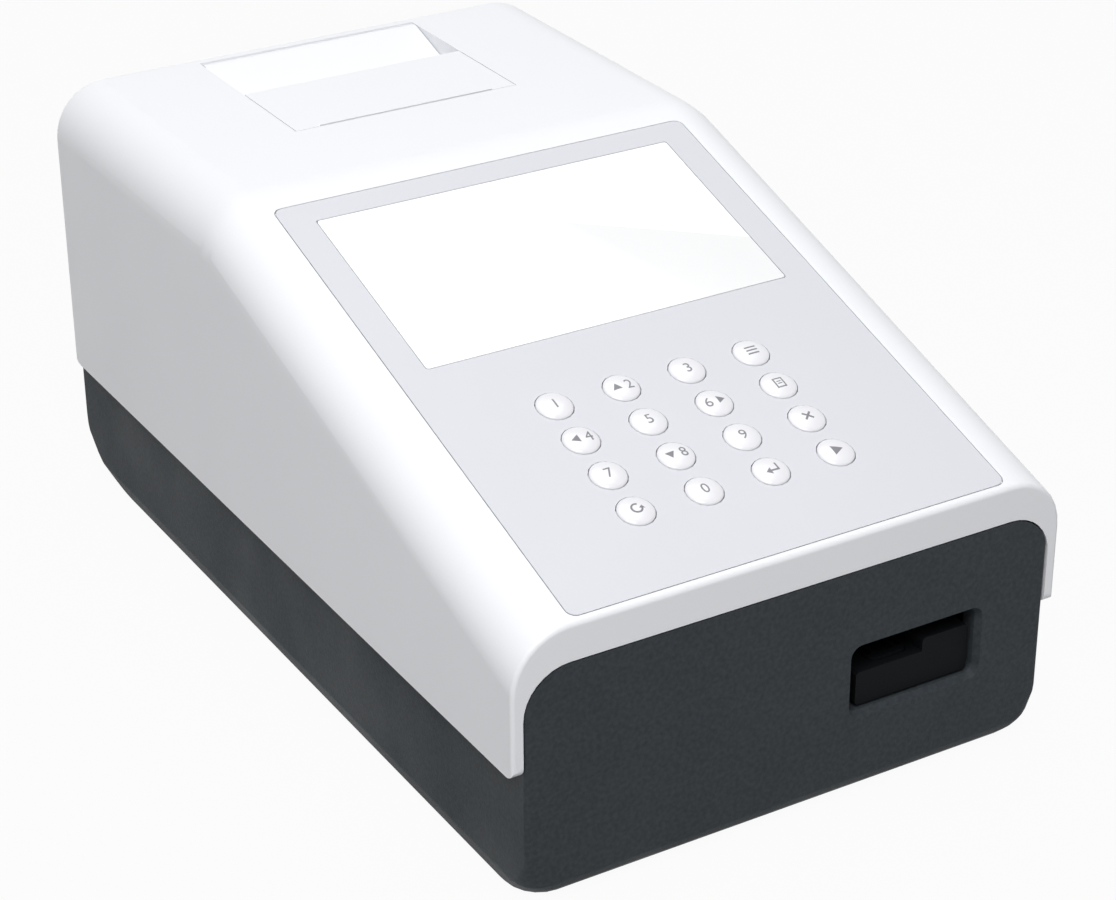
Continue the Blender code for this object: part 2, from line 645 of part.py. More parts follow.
def make_base(materials):
    """The charcoal tub with its tall arched front, tray opening, bosses and socket cut-outs."""
    top = ARCH_HEIGHT - LID_GAP
    levels = base_levels()
    outer = loft([base_ring(level) for level in levels + [SPLIT_HEIGHT, top]])
    inner_levels = [FLOOR] + [level for level in levels if level > FLOOR + SEAT_GAP]
    steps = [("cut", loft([base_ring(level, BASE_WALL) for level in inner_levels + [top + OVERRUN]]))]
    rim = SPLIT_HEIGHT + BASE_RIM
    far = BASE_BACK + OVERRUN
    wide = BASE_HALF + OVERRUN
    steps.append(("cut", box((-wide, FRONT + FRONT_WALL, rim), (wide, far, top + OVERRUN))))
    ledge = COVER_BACK - REAR_WALL - LID_GAP
    steps.append(("cut", box((-wide, ledge, SPLIT_HEIGHT - LID_GAP), (wide, far, rim + OVERRUN))))
    radius = INNER_RADIUS - LID_GAP
    for side in (-1, 1):
        outline = arc(BASE_HALF - radius, top - radius, radius, 0, math.pi / 2, SHOULDER_STEPS)
        outline += [(BASE_HALF - radius, top + OVERRUN), (wide, top + OVERRUN), (wide, top - radius)]
        outline = [(side * x, z) for x, z in outline]
        steps.append(("cut", prism(outline, "Y", FRONT - OVERRUN, FRONT + FRONT_WALL + OVERRUN)))
    bezel = opening_outline(BEZEL_WALL)
    steps.append(("join", prism(bezel, "Y", FRONT + FRONT_WALL / 2, FRONT + BEZEL_DEPTH)))
    for x, y in column_places():
        steps.append(("join", rod(COLUMN_RADIUS, "Z", x, y, FLOOR - BASE_WALL / 2, BOSS_TOP, SMALL_STEPS)))
    for x, y in standoff_places():
        steps.append(("join", rod(STANDOFF_RADIUS, "Z", x, y, FLOOR - BASE_WALL / 2,
                                  MAIN_HEIGHT - SEAT_GAP, SMALL_STEPS)))
    wide_end, narrow_end = opening_outline(BEZEL_FLARE), opening_outline(-BEZEL_FLARE)
    cuts = [prism(narrow_end, "Y", FRONT - OVERRUN, FRONT + BEZEL_DEPTH + OVERRUN)]
    cuts.append(loft([[placed("Y", x, z, FRONT - BEZEL_FLARE_DEPTH) for x, z in wide_end],
                      [placed("Y", x, z, FRONT + BEZEL_FLARE_DEPTH) for x, z in narrow_end]]))
    for x, y in column_places():
        cuts.append(rod(SCREW_RECESS_RADIUS, "Z", x, y, -OVERRUN, SCREW_RECESS, SMALL_STEPS))
        cuts.append(rod(PILOT_RADIUS, "Z", x, y, SCREW_RECESS - SEAT_GAP, BOSS_TOP + OVERRUN, SMALL_STEPS))
    for x, y in foot_places():
        cuts.append(rod(FOOT_RADIUS + SEAT_GAP, "Z", x, y, -OVERRUN, FEET_STAND + FOOT_RECESS))
    for index in range(VENTS):
        left = VENT_LEFT + VENT_PITCH * index
        outline = rounded_box_outline((left, FRONT + VENT_FRONT),
                                      (left + VENT_WIDTH, FRONT + VENT_FRONT + VENT_LENGTH),
                                      VENT_WIDTH * slot_round_share, 2)
        cuts.append(prism(outline, "Z", -OVERRUN, FLOOR + OVERRUN))
    for x, half, foot, head in socket_places():
        low = (x - half - SEAT_GAP, BASE_BACK - BASE_REAR_WALL - OVERRUN, foot - SEAT_GAP)
        cuts.append(box(low, (x + half + SEAT_GAP, far, head + SEAT_GAP)))
    steps += [("cut", shape) for shape in cuts]
    return solid("base_tub", outer, materials["base"], steps)


def opening_outline(grown):
    """The strip opening's outline, grown or shrunk all round."""
    low = (OPENING_LEFT - grown, OPENING_FOOT - grown)
    high = (OPENING_RIGHT + grown, OPENING_HEAD + grown)
    return rounded_box_outline(low, high, OPENING_RADIUS + grown)


def standoff_places():
    return [(x, FRONT + along)
            for x in (MAIN_LEFT + STANDOFF_INSET, MAIN_RIGHT - STANDOFF_INSET)
            for along in (MAIN_FRONT + STANDOFF_INSET, MAIN_BACK - STANDOFF_INSET * 3)]


def foot_places():
    x = BASE_HALF - FOOT_INSET_X
    y = BASE_BACK - FOOT_INSET_Y * foot_inset_share
    return [(side * x, end * y) for side in (-1, 1) for end in (-1, 1)]


def socket_places():
    """Centre, half width, foot and head of each cut-out in the rear wall."""
    seat = MAIN_HEIGHT + BOARD_THICK + SEAT_GAP
    return [(POWER_INLET_PLACE, INLET_HALF, seat, seat + INLET_HALF * 2),
            (USB_PLACE, USB_HALF, seat, seat + USB_HEIGHT_HALF * 2),
            (SERIAL_PLACE, SERIAL_HALF, seat, seat + SERIAL_HEIGHT_HALF * 2),
            (POWER_SWITCH_PLACE, SWITCH_WIDTH_HALF, SWITCH_CENTRE - SWITCH_TALL_HALF,
             SWITCH_CENTRE + SWITCH_TALL_HALF)]


def make_panel(materials, frame):
    """The control panel plate with its window and the display under it, in the slope's frame."""
    thick = PANEL_RECESS - SEAT_GAP
    plate = prism(rounded_box_outline((-PANEL_HALF, PANEL_FOOT), (PANEL_HALF, PANEL_HEAD), PANEL_CORNER),
                  "Z", -thick, 0)
    low = (-WINDOW_HALF - SEAT_GAP, WINDOW_FOOT - SEAT_GAP)
    high = (WINDOW_HALF + SEAT_GAP, WINDOW_HEAD + SEAT_GAP)
    steps = [("cut", prism(rounded_box_outline(low, high, WINDOW_CORNER, 2), "Z", -OVERRUN, OVERRUN))]
    holes = [rod(KEY_RADIUS + KEY_GAP, "Z", x, along, -OVERRUN, OVERRUN) for _, x, along in key_places()]
    steps.append(("cut", gathered(holes)))
    solid("control_panel", plate, materials["panel"], steps, parent=frame)
    pane = rounded_box_outline((-WINDOW_HALF, WINDOW_FOOT), (WINDOW_HALF, WINDOW_HEAD), WINDOW_CORNER, 2)
    solid("display_window", prism(pane, "Z", -thick, 0), materials["window"], parent=frame)
    seat = -ROOF_WALL - SEAT_GAP
    low = (-WINDOW_HALF - MODULE_MARGIN, WINDOW_FOOT - MODULE_MARGIN, seat - MODULE_DEPTH)
    high = (WINDOW_HALF + MODULE_MARGIN, WINDOW_HEAD + MODULE_MARGIN, seat)
    solid("display_module", box(low, high), materials["metal"], parent=frame)


def key_shape():
    """A domed round key on its shaft, with a flange under the cover and a short stem."""
    crown = [(0, KEY_DOME)]
    for step in range(1, CROWN_STEPS + 1):
        turn = math.pi / 2 * step / CROWN_STEPS
        crown.append((KEY_RADIUS * math.sin(turn), KEY_DOME * math.cos(turn)))
    flange = KEY_RADIUS + KEY_FLANGE
    foot = KEY_UNDER - KEY_FLANGE_DEPTH
    profile = crown + [(KEY_RADIUS, KEY_UNDER), (flange, KEY_UNDER), (flange, foot),
                       (KEY_STEM_RADIUS, foot), (KEY_STEM_RADIUS, foot - KEY_STEM), (0, foot - KEY_STEM)]
    return turned(list(reversed(profile)), KEY_STEPS)


def make_keys(materials, frame):
    """The keys, and the keypad board whose switches they press."""
    switches = []
    for name, x, along in key_places():
        key = solid(name, key_shape(), materials["key"], parent=frame)
        key.location = (x, along, 0)
        half = SWITCH_SIZE / 2
        switches.append(box((x - half, along - half, KEYPAD_TOP - BOARD_THICK / 2),
                            (x + half, along + half, SWITCH_TOP)))
    corners = keypad_corners()
    low = (corners[0][0] - POST_INSET, corners[0][1] - POST_INSET, KEYPAD_TOP - BOARD_THICK)
    high = (corners[3][0] + POST_INSET, corners[3][1] + POST_INSET, KEYPAD_TOP)
    solid("keypad_board", box(low, high), materials["board"], [("join", gathered(switches))], parent=frame)


def make_door(materials):
    """The printer door: flat panel, finger scoop and hinge barrel in one profile, with roller arms."""
    ramp = math.atan2(SCOOP_DEPTH, SCOOP_BACK - SCOOP_FRONT)
    drop = DOOR_THICK / math.cos(ramp)
    front = FRONT + SLOT_PLACE + DOOR_SEAM
    lip = FRONT + SCOOP_FRONT
    back = FRONT + SCOOP_BACK
    profile = [(front, HEIGHT), (lip, HEIGHT), (lip - LIP_UNDERCUT, HEIGHT - SCOOP_DEPTH), (back, HEIGHT)]
    profile += arc(HINGE_Y, HINGE_Z, HINGE_BARREL, math.pi / 2, -math.pi, CORNER_STEPS + 1)
    profile += [(back, HEIGHT - drop),
                (lip - DOOR_THICK, HEIGHT - SCOOP_DEPTH - drop - DOOR_THICK * math.tan(ramp)),
                (lip - DOOR_THICK, HEIGHT - DOOR_THICK), (front, HEIGHT - DOOR_THICK)]
    steps = []
    for side in (-1, 1):
        outline = [(ROLLER_Y + ARM_RADIUS, HEIGHT - DOOR_THICK / 2),
                   (ROLLER_Y - ARM_RADIUS, HEIGHT - DOOR_THICK / 2)]
        outline += arc(ROLLER_Y, ROLLER_Z, ARM_RADIUS, math.pi, math.pi, CORNER_STEPS + 1)
        ends = sorted((side * ARM_INNER, side * (ARM_INNER + ARM_THICK)))
        steps.append(("join", prism(outline, "X", *ends)))
        ends = sorted((side * (DOOR_HALF - HINGE_PIN_LENGTH), side * (DOOR_HALF + HINGE_PIN_LENGTH)))
        steps.append(("join", rod(HINGE_PIN_RADIUS, "X", HINGE_Y, HINGE_Z, *ends, SMALL_STEPS)))
    reach = ARM_INNER + ARM_THICK + OVERRUN
    steps.append(("cut", rod(SHAFT_HOLE_RADIUS, "X", ROLLER_Y, ROLLER_Z, -reach, reach, SMALL_STEPS)))
    low = (-SLOT_HALF, front - OVERRUN, HEIGHT - OVERRUN)
    steps.append(("cut", box(low, (SLOT_HALF, FRONT + SLOT_PLACE + SLOT_GAP, HEIGHT + OVERRUN))))
    solid("paper_door", prism(profile, "X", -DOOR_HALF, DOOR_HALF), materials["cover"], steps,
          origin=(0, HINGE_Y, HINGE_Z))


def involute(angle):
    return math.tan(angle) - angle


def gear_outline(centre_a, centre_b, module, teeth, first):
    """An involute gear outline with a tooth centred on the angle called first."""
    pressure = math.radians(20)
    pitch = module * teeth / 2
    base = pitch * math.cos(pressure)
    root = pitch - module * gear_root_share
    tip = pitch + module * gear_tip_share
    half = math.pi / 2 / teeth - GEAR_BACKLASH / pitch + involute(pressure)
    points = []
    for tooth in range(teeth):
        middle = first + math.tau * tooth / teeth
        start = max(base, root)
        flank = [(root, half)] if root < base else []
        flank += [(radius, half - involute(math.acos(base / radius))) for radius in (start, pitch, tip)]
        turns = [(radius, middle - angle) for radius, angle in flank]
        turns += [(radius, middle + angle) for radius, angle in reversed(flank)]
        points += [(centre_a + radius * math.cos(turn), centre_b + radius * math.sin(turn))
                   for radius, turn in turns]
    return points


def make_printer(materials):
    """Roller with its gear, print head, frame with the paper trough, paper roll and motor."""
    low, high = ROLLER_GEAR_LEFT, ROLLER_GEAR_LEFT + GEAR_THICK
    axis = (0, ROLLER_Y, ROLLER_Z)
    shaft = rod(SHAFT_RADIUS, "X", ROLLER_Y, ROLLER_Z, -ARM_INNER - ARM_THICK, high + SEAT_GAP, SMALL_STEPS)
    roller = rod(ROLLER_RADIUS, "X", ROLLER_Y, ROLLER_Z, -ROLLER_HALF, ROLLER_HALF)
    solid("platen_roller", roller, materials["rubber"], [("join", shaft)], origin=axis)
    outline = gear_outline(ROLLER_Y, ROLLER_Z, GEAR_MODULE, ROLLER_TEETH, MESH_ANGLE)
    bore = rod(SHAFT_HOLE_RADIUS, "X", ROLLER_Y, ROLLER_Z, low - OVERRUN, high + OVERRUN, SMALL_STEPS)
    solid("roller_gear", prism(outline, "X", low, high), materials["gear"], [("cut", bore)], origin=axis)
    gap_turn = MESH_ANGLE + math.pi + math.pi / PRINTER_PINION_TEETH
    outline = gear_outline(PRINTER_PINION_Y, PRINTER_PINION_Z, GEAR_MODULE, PRINTER_PINION_TEETH, gap_turn)
    motor_face = CHEEK_PLACE + SEAT_GAP
    shaft = rod(SHAFT_RADIUS, "X", PRINTER_PINION_Y, PRINTER_PINION_Z, low + GEAR_THICK / 2,
                motor_face - SEAT_GAP, SMALL_STEPS)
    solid("printer_pinion", prism(outline, "X", low, high), materials["gear"], [("join", shaft)],
          origin=(0, PRINTER_PINION_Y, PRINTER_PINION_Z))
    solid("printer_motor", rod(PRINTER_MOTOR_RADIUS, "X", PRINTER_PINION_Y, PRINTER_PINION_Z, motor_face,
                               motor_face + PRINTER_MOTOR_LENGTH), materials["metal"])
    head_top = ROLLER_Z - ROLLER_RADIUS - SEAT_GAP
    head_foot = head_top - HEAD_BAR_HEIGHT - HEAD_HEIGHT
    block = box((-HEAD_HALF, ROLLER_Y - HEAD_LENGTH / 2, head_foot),
                (HEAD_HALF, ROLLER_Y + HEAD_LENGTH / 2, head_top - HEAD_BAR_HEIGHT))
    bar = box((-HEAD_HALF, ROLLER_Y - HEAD_BAR_LENGTH / 2, head_top - HEAD_BAR_HEIGHT * 2),
              (HEAD_HALF, ROLLER_Y + HEAD_BAR_LENGTH / 2, head_top))
    solid("print_head", block, materials["metal"], [("join", bar)])
    make_printer_frame(materials, head_foot)
    roll = rod(ROLL_RADIUS, "X", ROLL_Y, ROLL_Z, -ROLL_HALF, ROLL_HALF, CORNER_STEPS * CORNER_STEPS)
    core = rod(ROLL_CORE_RADIUS, "X", ROLL_Y, ROLL_Z, -ROLL_HALF - OVERRUN, ROLL_HALF + OVERRUN)
    solid("paper_roll", roll, materials["paper"], [("cut", core)], origin=(0, ROLL_Y, ROLL_Z))


def make_printer_frame(materials, head_foot):
    """A half-round paper trough between two cheeks, with the shelf of the print head."""
    inner = ROLL_RADIUS + TROUGH_RUN
    outer = inner + TROUGH_THICK
    middle = ROLL_Z + TROUGH_RUN - SEAT_GAP
    half_turn = arc(ROLL_Y, middle, outer, math.pi, math.pi, TROUGH_STEPS)
    trough = half_turn + arc(ROLL_Y, middle, inner, 0, -math.pi, TROUGH_STEPS)
    top = HEIGHT - CHEEK_DROP
    steps = []
    for side in (-1, 1):
        ends = sorted((side * CHEEK_PLACE, side * (CHEEK_PLACE - CHEEK_THICK)))
        cheek = [(FRONT + CHEEK_FRONT, top), (FRONT + CHEEK_FRONT, HEIGHT - CHEEK_FOOT_DROP)]
        cheek += [(ROLL_Y - outer + TROUGH_THICK, HEIGHT - CHEEK_FOOT_DROP)]
        cheek += arc(ROLL_Y, middle, inner + TROUGH_THICK / 2, math.pi, math.pi, TROUGH_STEPS)
        cheek += [(FRONT + CHEEK_BACK, top)]
        steps.append(("join", prism(cheek, "X", *ends)))
        rib_ends = sorted((side * (ROLL_HALF + TROUGH_RUN), side * (ROLL_HALF + TROUGH_RUN + CHEEK_THICK)))
        rib = arc(ROLL_Y, middle, inner + TROUGH_THICK / 2, math.pi, math.pi, TROUGH_STEPS)
        steps.append(("join", prism(rib, "X", *rib_ends)))
        ear_ends = sorted((side * (CHEEK_PLACE - CHEEK_THICK / 2), side * (CHEEK_PLACE + EAR_LENGTH)))
        for place in EAR_PLACES:
            low = (ear_ends[0], FRONT + place - EAR_WIDTH / 2, top - EAR_THICK)
            steps.append(("join", box(low, (ear_ends[1], FRONT + place + EAR_WIDTH / 2, top))))
    reach = CHEEK_PLACE - CHEEK_THICK / 2
    shelf_top = head_foot - SEAT_GAP
    shelf = box((-reach, FRONT + CHEEK_FRONT, shelf_top - SHELF_THICK),
                (reach, ROLL_Y - inner - TROUGH_THICK / 2, shelf_top))
    steps.append(("join", shelf))
    notch = rod(SHAFT_RADIUS + TROUGH_RUN, "X", PRINTER_PINION_Y, PRINTER_PINION_Z,
                CHEEK_PLACE - CHEEK_THICK - OVERRUN, CHEEK_PLACE + OVERRUN, SMALL_STEPS)
    steps.append(("cut", notch))
    radius = PRINTER_PINION_PITCH + GEAR_MODULE + TROUGH_RUN
    pocket = rod(radius, "X", PRINTER_PINION_Y, PRINTER_PINION_Z, ROLLER_GEAR_LEFT - TROUGH_RUN,
                 CHEEK_PLACE - CHEEK_THICK - SEAT_GAP)
    steps.append(("cut", pocket))
    solid("printer_frame", prism(trough, "X", -CHEEK_PLACE + CHEEK_THICK / 2, CHEEK_PLACE - CHEEK_THICK / 2),
          materials["black"], steps)


def rack_outline():
    """A straight rack along Y with its teeth towards -X and its flat back against the tray."""
    pitch = math.pi * RACK_MODULE
    slant = math.tan(math.radians(20))
    back = RACK_PITCH_X + RACK_MODULE * gear_root_share
    tip = RACK_PITCH_X - RACK_MODULE * gear_tip_share
    crest = pitch / 4 - GEAR_BACKLASH - RACK_MODULE * gear_tip_share * slant
    foot = pitch / 4 - GEAR_BACKLASH + RACK_MODULE * gear_root_share * slant
    low = FRONT + RACK_FRONT
    high = low + RACK_LENGTH
    first = math.ceil((low + pitch / 2 - TRAY_PINION_Y) / pitch)
    last = math.floor((high - pitch / 2 - TRAY_PINION_Y) / pitch)
    points = [(back + RACK_BACK, low), (back, low)]
    for tooth in range(first, last + 1):
        y = TRAY_PINION_Y + tooth * pitch
        points += [(back, y - foot), (tip, y - crest), (tip, y + crest), (back, y + foot)]
    points += [(back, high), (back + RACK_BACK, high)]
    return points


def make_tray(materials):
    """The strip carriage with its rack, the lift-out strip tray and the white reference on it."""
    near = FRONT + TRAY_FRONT
    far = near + TRAY_LENGTH
    section = [(TRAY_LEFT + TRAY_EDGE, TRAY_FOOT), (TRAY_RIGHT - TRAY_EDGE, TRAY_FOOT),
               (TRAY_RIGHT, TRAY_FOOT + TRAY_EDGE), (TRAY_RIGHT, TRAY_STEP_TOP - TRAY_EDGE),
               (TRAY_RIGHT - TRAY_EDGE, TRAY_STEP_TOP), (TRAY_STEP + TRAY_EDGE, TRAY_STEP_TOP),
               (TRAY_STEP, TRAY_STEP_TOP - TRAY_EDGE), (TRAY_STEP, TRAY_DECK),
               (TRAY_LEFT + TRAY_EDGE, TRAY_DECK), (TRAY_LEFT, TRAY_DECK - TRAY_EDGE),
               (TRAY_LEFT, TRAY_FOOT + TRAY_EDGE)]
    rack_back = RACK_PITCH_X + RACK_MODULE * gear_root_share + RACK_BACK
    groove = box((TRAY_LEFT - OVERRUN, FRONT + RACK_FRONT - SEAT_GAP, RACK_FOOT - SEAT_GAP),
                 (rack_back + SEAT_GAP, far + OVERRUN, RACK_FOOT + RACK_HEIGHT + SEAT_GAP))
    insert_left, insert_right = rack_back + INSERT_MARGIN, TRAY_STEP - INSERT_MARGIN
    insert_near, insert_far = near + INSERT_MARGIN, far - INSERT_MARGIN
    pocket = rounded_box_outline((insert_left, insert_near), (insert_right, insert_far), INSERT_MARGIN)
    floor = TRAY_DECK - INSERT_DEPTH
    steps = [("cut", groove), ("cut", prism(pocket, "Z", floor, TRAY_DECK + OVERRUN))]
    solid("tray_carriage", prism(section, "Y", near, far), materials["black"], steps)
    solid("tray_rack", prism(rack_outline(), "Z", RACK_FOOT, RACK_FOOT + RACK_HEIGHT), materials["gear"])
    gap = SEAT_GAP
    plate = rounded_box_outline((insert_left + gap, insert_near + gap),
                                (insert_right - gap, insert_far - gap), INSERT_MARGIN - gap)
    top = TRAY_DECK + INSERT_PROUD
    middle = (insert_left + insert_right) / 2
    start = insert_near + INSERT_MARGIN
    cuts = [box((middle - STRIP_WIDTH / 2, start, top - STRIP_DEPTH),
                (middle + STRIP_WIDTH / 2, start + STRIP_LENGTH, top + OVERRUN))]
    for side in (-1, 1):
        x = middle + side * (STRIP_WIDTH / 2 + DRAIN_WIDTH)
        drain = rounded_box_outline((x - DRAIN_WIDTH / 2, start),
                                    (x + DRAIN_WIDTH / 2, start + STRIP_LENGTH),
                                    DRAIN_WIDTH * slot_round_share, 2)
        cuts.append(prism(drain, "Z", top - DRAIN_DEPTH, top + OVERRUN))
    reference_near = start + STRIP_LENGTH + INSERT_MARGIN
    reference = [(middle - STRIP_WIDTH, reference_near),
                 (middle + STRIP_WIDTH, reference_near + REFERENCE_LENGTH)]
    cuts.append(box((reference[0][0] - gap, reference[0][1] - gap, top - STRIP_DEPTH),
                    (reference[1][0] + gap, reference[1][1] + gap, top + OVERRUN)))
    solid("strip_tray", prism(plate, "Z", floor + gap, top), materials["white"],
          [("cut", cut) for cut in cuts])
    solid("white_reference", box((*reference[0], top - STRIP_DEPTH + gap), (*reference[1], top)),
          materials["paper"])


def make_tray_drive(materials):
    """The guide that the carriage runs in, and the motor with the pinion that drives its rack."""
    deck = TRAY_FOOT - SEAT_GAP
    foot = deck - GUIDE_THICK
    left, right = TRAY_LEFT - SEAT_GAP - GUIDE_THICK, TRAY_RIGHT + SEAT_GAP + GUIDE_THICK
    near, far = FRONT + BEZEL_DEPTH + SEAT_GAP, FRONT + GUIDE_BACK
    wall_top = RACK_FOOT + RACK_HEIGHT
    wall_near = TRAY_PINION_Y + TRAY_PINION_PITCH + RACK_MODULE * 3
    steps = [("join", box((right - GUIDE_THICK, near, deck - GUIDE_THICK / 2), (right, far, wall_top))),
             ("join", box((left, wall_near, deck - GUIDE_THICK / 2), (left + GUIDE_THICK, far, wall_top)))]
    leg_left = TRAY_PINION_X + TRAY_MOTOR_RADIUS + RACK_MODULE
    for place in (near, (near + far) / 2, far - GUIDE_LEG):
        steps.append(("join", box((leg_left, place, FLOOR + SEAT_GAP),
                                  (right, place + GUIDE_LEG, deck - GUIDE_THICK / 2))))
    clear = rod(TRAY_PINION_PITCH + RACK_MODULE * 2, "Z", TRAY_PINION_X, TRAY_PINION_Y,
                foot - OVERRUN, deck + OVERRUN)
    steps.append(("cut", clear))
    solid("tray_guide", box((left, near, foot), (right, far, deck)), materials["black"], steps)
    motor_top = FLOOR + SEAT_GAP + TRAY_MOTOR_HEIGHT
    motor = rod(TRAY_MOTOR_RADIUS, "Z", TRAY_PINION_X, TRAY_PINION_Y, FLOOR + SEAT_GAP, motor_top)
    solid("tray_motor", motor, materials["metal"])
    gap_turn = math.pi / TRAY_PINION_TEETH
    outline = gear_outline(TRAY_PINION_X, TRAY_PINION_Y, RACK_MODULE, TRAY_PINION_TEETH, gap_turn)
    shaft = rod(SHAFT_RADIUS, "Z", TRAY_PINION_X, TRAY_PINION_Y, motor_top + SEAT_GAP,
                RACK_FOOT + RACK_HEIGHT / 2, SMALL_STEPS)
    solid("tray_pinion", prism(outline, "Z", RACK_FOOT, RACK_FOOT + RACK_HEIGHT), materials["gear"],
          [("join", shaft)], origin=(TRAY_PINION_X, TRAY_PINION_Y, RACK_FOOT))


def make_reader(materials):
    """The optical reader that stands on the guide over the strip, with its lens and board."""
    left, right = TRAY_LEFT - SEAT_GAP - GUIDE_THICK, TRAY_RIGHT + SEAT_GAP + GUIDE_THICK
    near = FRONT + READER_FRONT
    far = near + READER_LENGTH
    foot = TRAY_STEP_TOP + READER_CLEAR
    top = foot + READER_HEIGHT
    wall = READER_WALL
    seat = RACK_FOOT + RACK_HEIGHT + SEAT_GAP
    hollow = box((left + wall, near + wall, foot + wall), (right - wall, far - wall, top + OVERRUN))
    steps = [("cut", hollow)]
    for low, high in ((left, left + GUIDE_THICK), (right - GUIDE_THICK, right)):
        steps.append(("join", box((low, near, seat), (high, far, foot + wall / 2))))
    x = (RACK_PITCH_X + TRAY_STEP) / 2
    y = (near + far) / 2
    hole = rod(LENS_RADIUS + SEAT_GAP, "Z", x, y, foot - OVERRUN, foot + OVERRUN)
    steps.append(("cut", hole))
    solid("reader_housing", box((left, near, foot), (right, far, top)), materials["black"], steps)
    barrel = rod(LENS_RADIUS, "Z", x, y, foot, foot + LENS_LENGTH)
    bore = rod(LENS_RADIUS / 2, "Z", x, y, foot - OVERRUN, foot + LENS_LENGTH / 2)
    solid("reader_lens", barrel, materials["metal"], [("cut", bore)])
    seat = top + SEAT_GAP
    chip = box((x - LENS_RADIUS, y - LENS_RADIUS, seat + BOARD_THICK / 2),
               (x + LENS_RADIUS, y + LENS_RADIUS, seat + BOARD_THICK * 2))
    solid("reader_board", box((left, near, seat), (right, far, seat + BOARD_THICK)), materials["board"],
          [("join", chip)])


def make_main_board(materials):
    """The main circuit board with its larger parts on it."""
    top = MAIN_HEIGHT + BOARD_THICK
    plate = box((MAIN_LEFT, FRONT + MAIN_FRONT, MAIN_HEIGHT), (MAIN_RIGHT, FRONT + MAIN_BACK, top))
    wide, deep = MAIN_RIGHT - MAIN_LEFT, MAIN_BACK - MAIN_FRONT
    steps = []
    for left, near, width, depth, height in chip_shares:
        low = (MAIN_LEFT + wide * left, FRONT + MAIN_FRONT + deep * near, top - BOARD_THICK / 2)
        high = (low[0] + wide * width, low[1] + deep * depth, top + wide * height)
        steps.append(("join", box(low, high)))
    solid("main_board", plate, materials["board"], steps)
    for number, (x, y) in enumerate(standoff_places(), 1):
        low = top + SEAT_GAP
        head = rod(SCREW_HEAD_RADIUS, "Z", x, y, low, low + SCREW_HEAD_HEIGHT, SMALL_STEPS)
        solid(f"board_screw_{number}", head, materials["metal"])


def make_sockets(materials):
    """Power inlet, data sockets and the power switch in the rear wall."""
    face = BASE_BACK - SEAT_GAP
    inlet, usb, serial, switch = socket_places()
    x, half, foot, head = inlet
    middle = (foot + head) / 2
    bore = rod(INLET_BORE, "Y", x, middle, face - INLET_DEPTH * inlet_bore_share, face + OVERRUN,
               SMALL_STEPS)
    body = box((x - half, face - INLET_DEPTH, foot), (x + half, face, head))
    pin = rod(INLET_PIN, "Y", x, middle, face - INLET_DEPTH * inlet_pin_share, face - INLET_PIN, SMALL_STEPS)
    solid("power_inlet", body, materials["black"], [("cut", bore), ("join", pin)])
    x, half, foot, head = usb
    middle = (foot + head) / 2
    shell = box((x - half, face - USB_DEPTH, foot), (x + half, face, head))
    hollow = box((x - half + USB_WALL, face - USB_DEPTH + USB_WALL, foot + USB_WALL),
                 (x + half - USB_WALL, face + OVERRUN, head - USB_WALL))
    tongue = box((x - USB_TONGUE_HALF, face - USB_DEPTH + USB_WALL / 2, middle - USB_TONGUE_HEIGHT_HALF),
                 (x + USB_TONGUE_HALF, face - USB_WALL, middle + USB_TONGUE_HEIGHT_HALF))
    solid("usb_socket", shell, materials["metal"], [("cut", hollow), ("join", tongue)])
    x, half, foot, head = serial
    middle = (foot + head) / 2
    body = box((x - half, face - SERIAL_SHELL_DEPTH - SERIAL_BODY_DEPTH, foot),
               (x + half, face - SERIAL_SHELL_DEPTH, head))
    shell = [(x - SERIAL_SHELL_HALF, middle + SERIAL_SHELL_HEIGHT_HALF),
             (x + SERIAL_SHELL_HALF, middle + SERIAL_SHELL_HEIGHT_HALF),
             (x + SERIAL_SHELL_HALF - SERIAL_SHELL_TAPER, middle - SERIAL_SHELL_HEIGHT_HALF),
             (x - SERIAL_SHELL_HALF + SERIAL_SHELL_TAPER, middle - SERIAL_SHELL_HEIGHT_HALF)]
    nose = prism(shell, "Y", face - SERIAL_SHELL_DEPTH - SERIAL_FLANGE, face)
    solid("serial_socket", body, materials["metal"], [("join", nose)])
    make_power_switch(materials, switch)


def make_power_switch(materials, place):
    """The switch frame in the rear wall and the rocker that tips in it."""
    x, half, foot, head = place
    face = BASE_BACK - SEAT_GAP
    middle = (foot + head) / 2
    frame = box((x - half, face - SWITCH_BODY_DEPTH, foot), (x + half, face, head))
    hollow = box((x - half + SWITCH_RIM, face - SWITCH_BODY_DEPTH + SWITCH_RIM, foot + SWITCH_RIM),
                 (x + half - SWITCH_RIM, face + OVERRUN, head - SWITCH_RIM))
    solid("switch_frame", frame, materials["black"], [("cut", hollow)])
    rocker_half = half - SWITCH_RIM - SEAT_GAP
    span = math.asin((head - foot - SWITCH_RIM * 4) / 2 / ROCKER_RADIUS)
    pivot_y = face - ROCKER_RADIUS
    outer = arc(pivot_y, middle, ROCKER_RADIUS, -span - ROCKER_TILT, span * 2, CORNER_STEPS * 2)
    inner = arc(pivot_y, middle, ROCKER_RADIUS - ROCKER_THICK, span - ROCKER_TILT, -span * 2,
                CORNER_STEPS * 2)
    solid("power_rocker", prism(outer + inner, "X", x - rocker_half, x + rocker_half), materials["black"],
          origin=(x, pivot_y, middle))


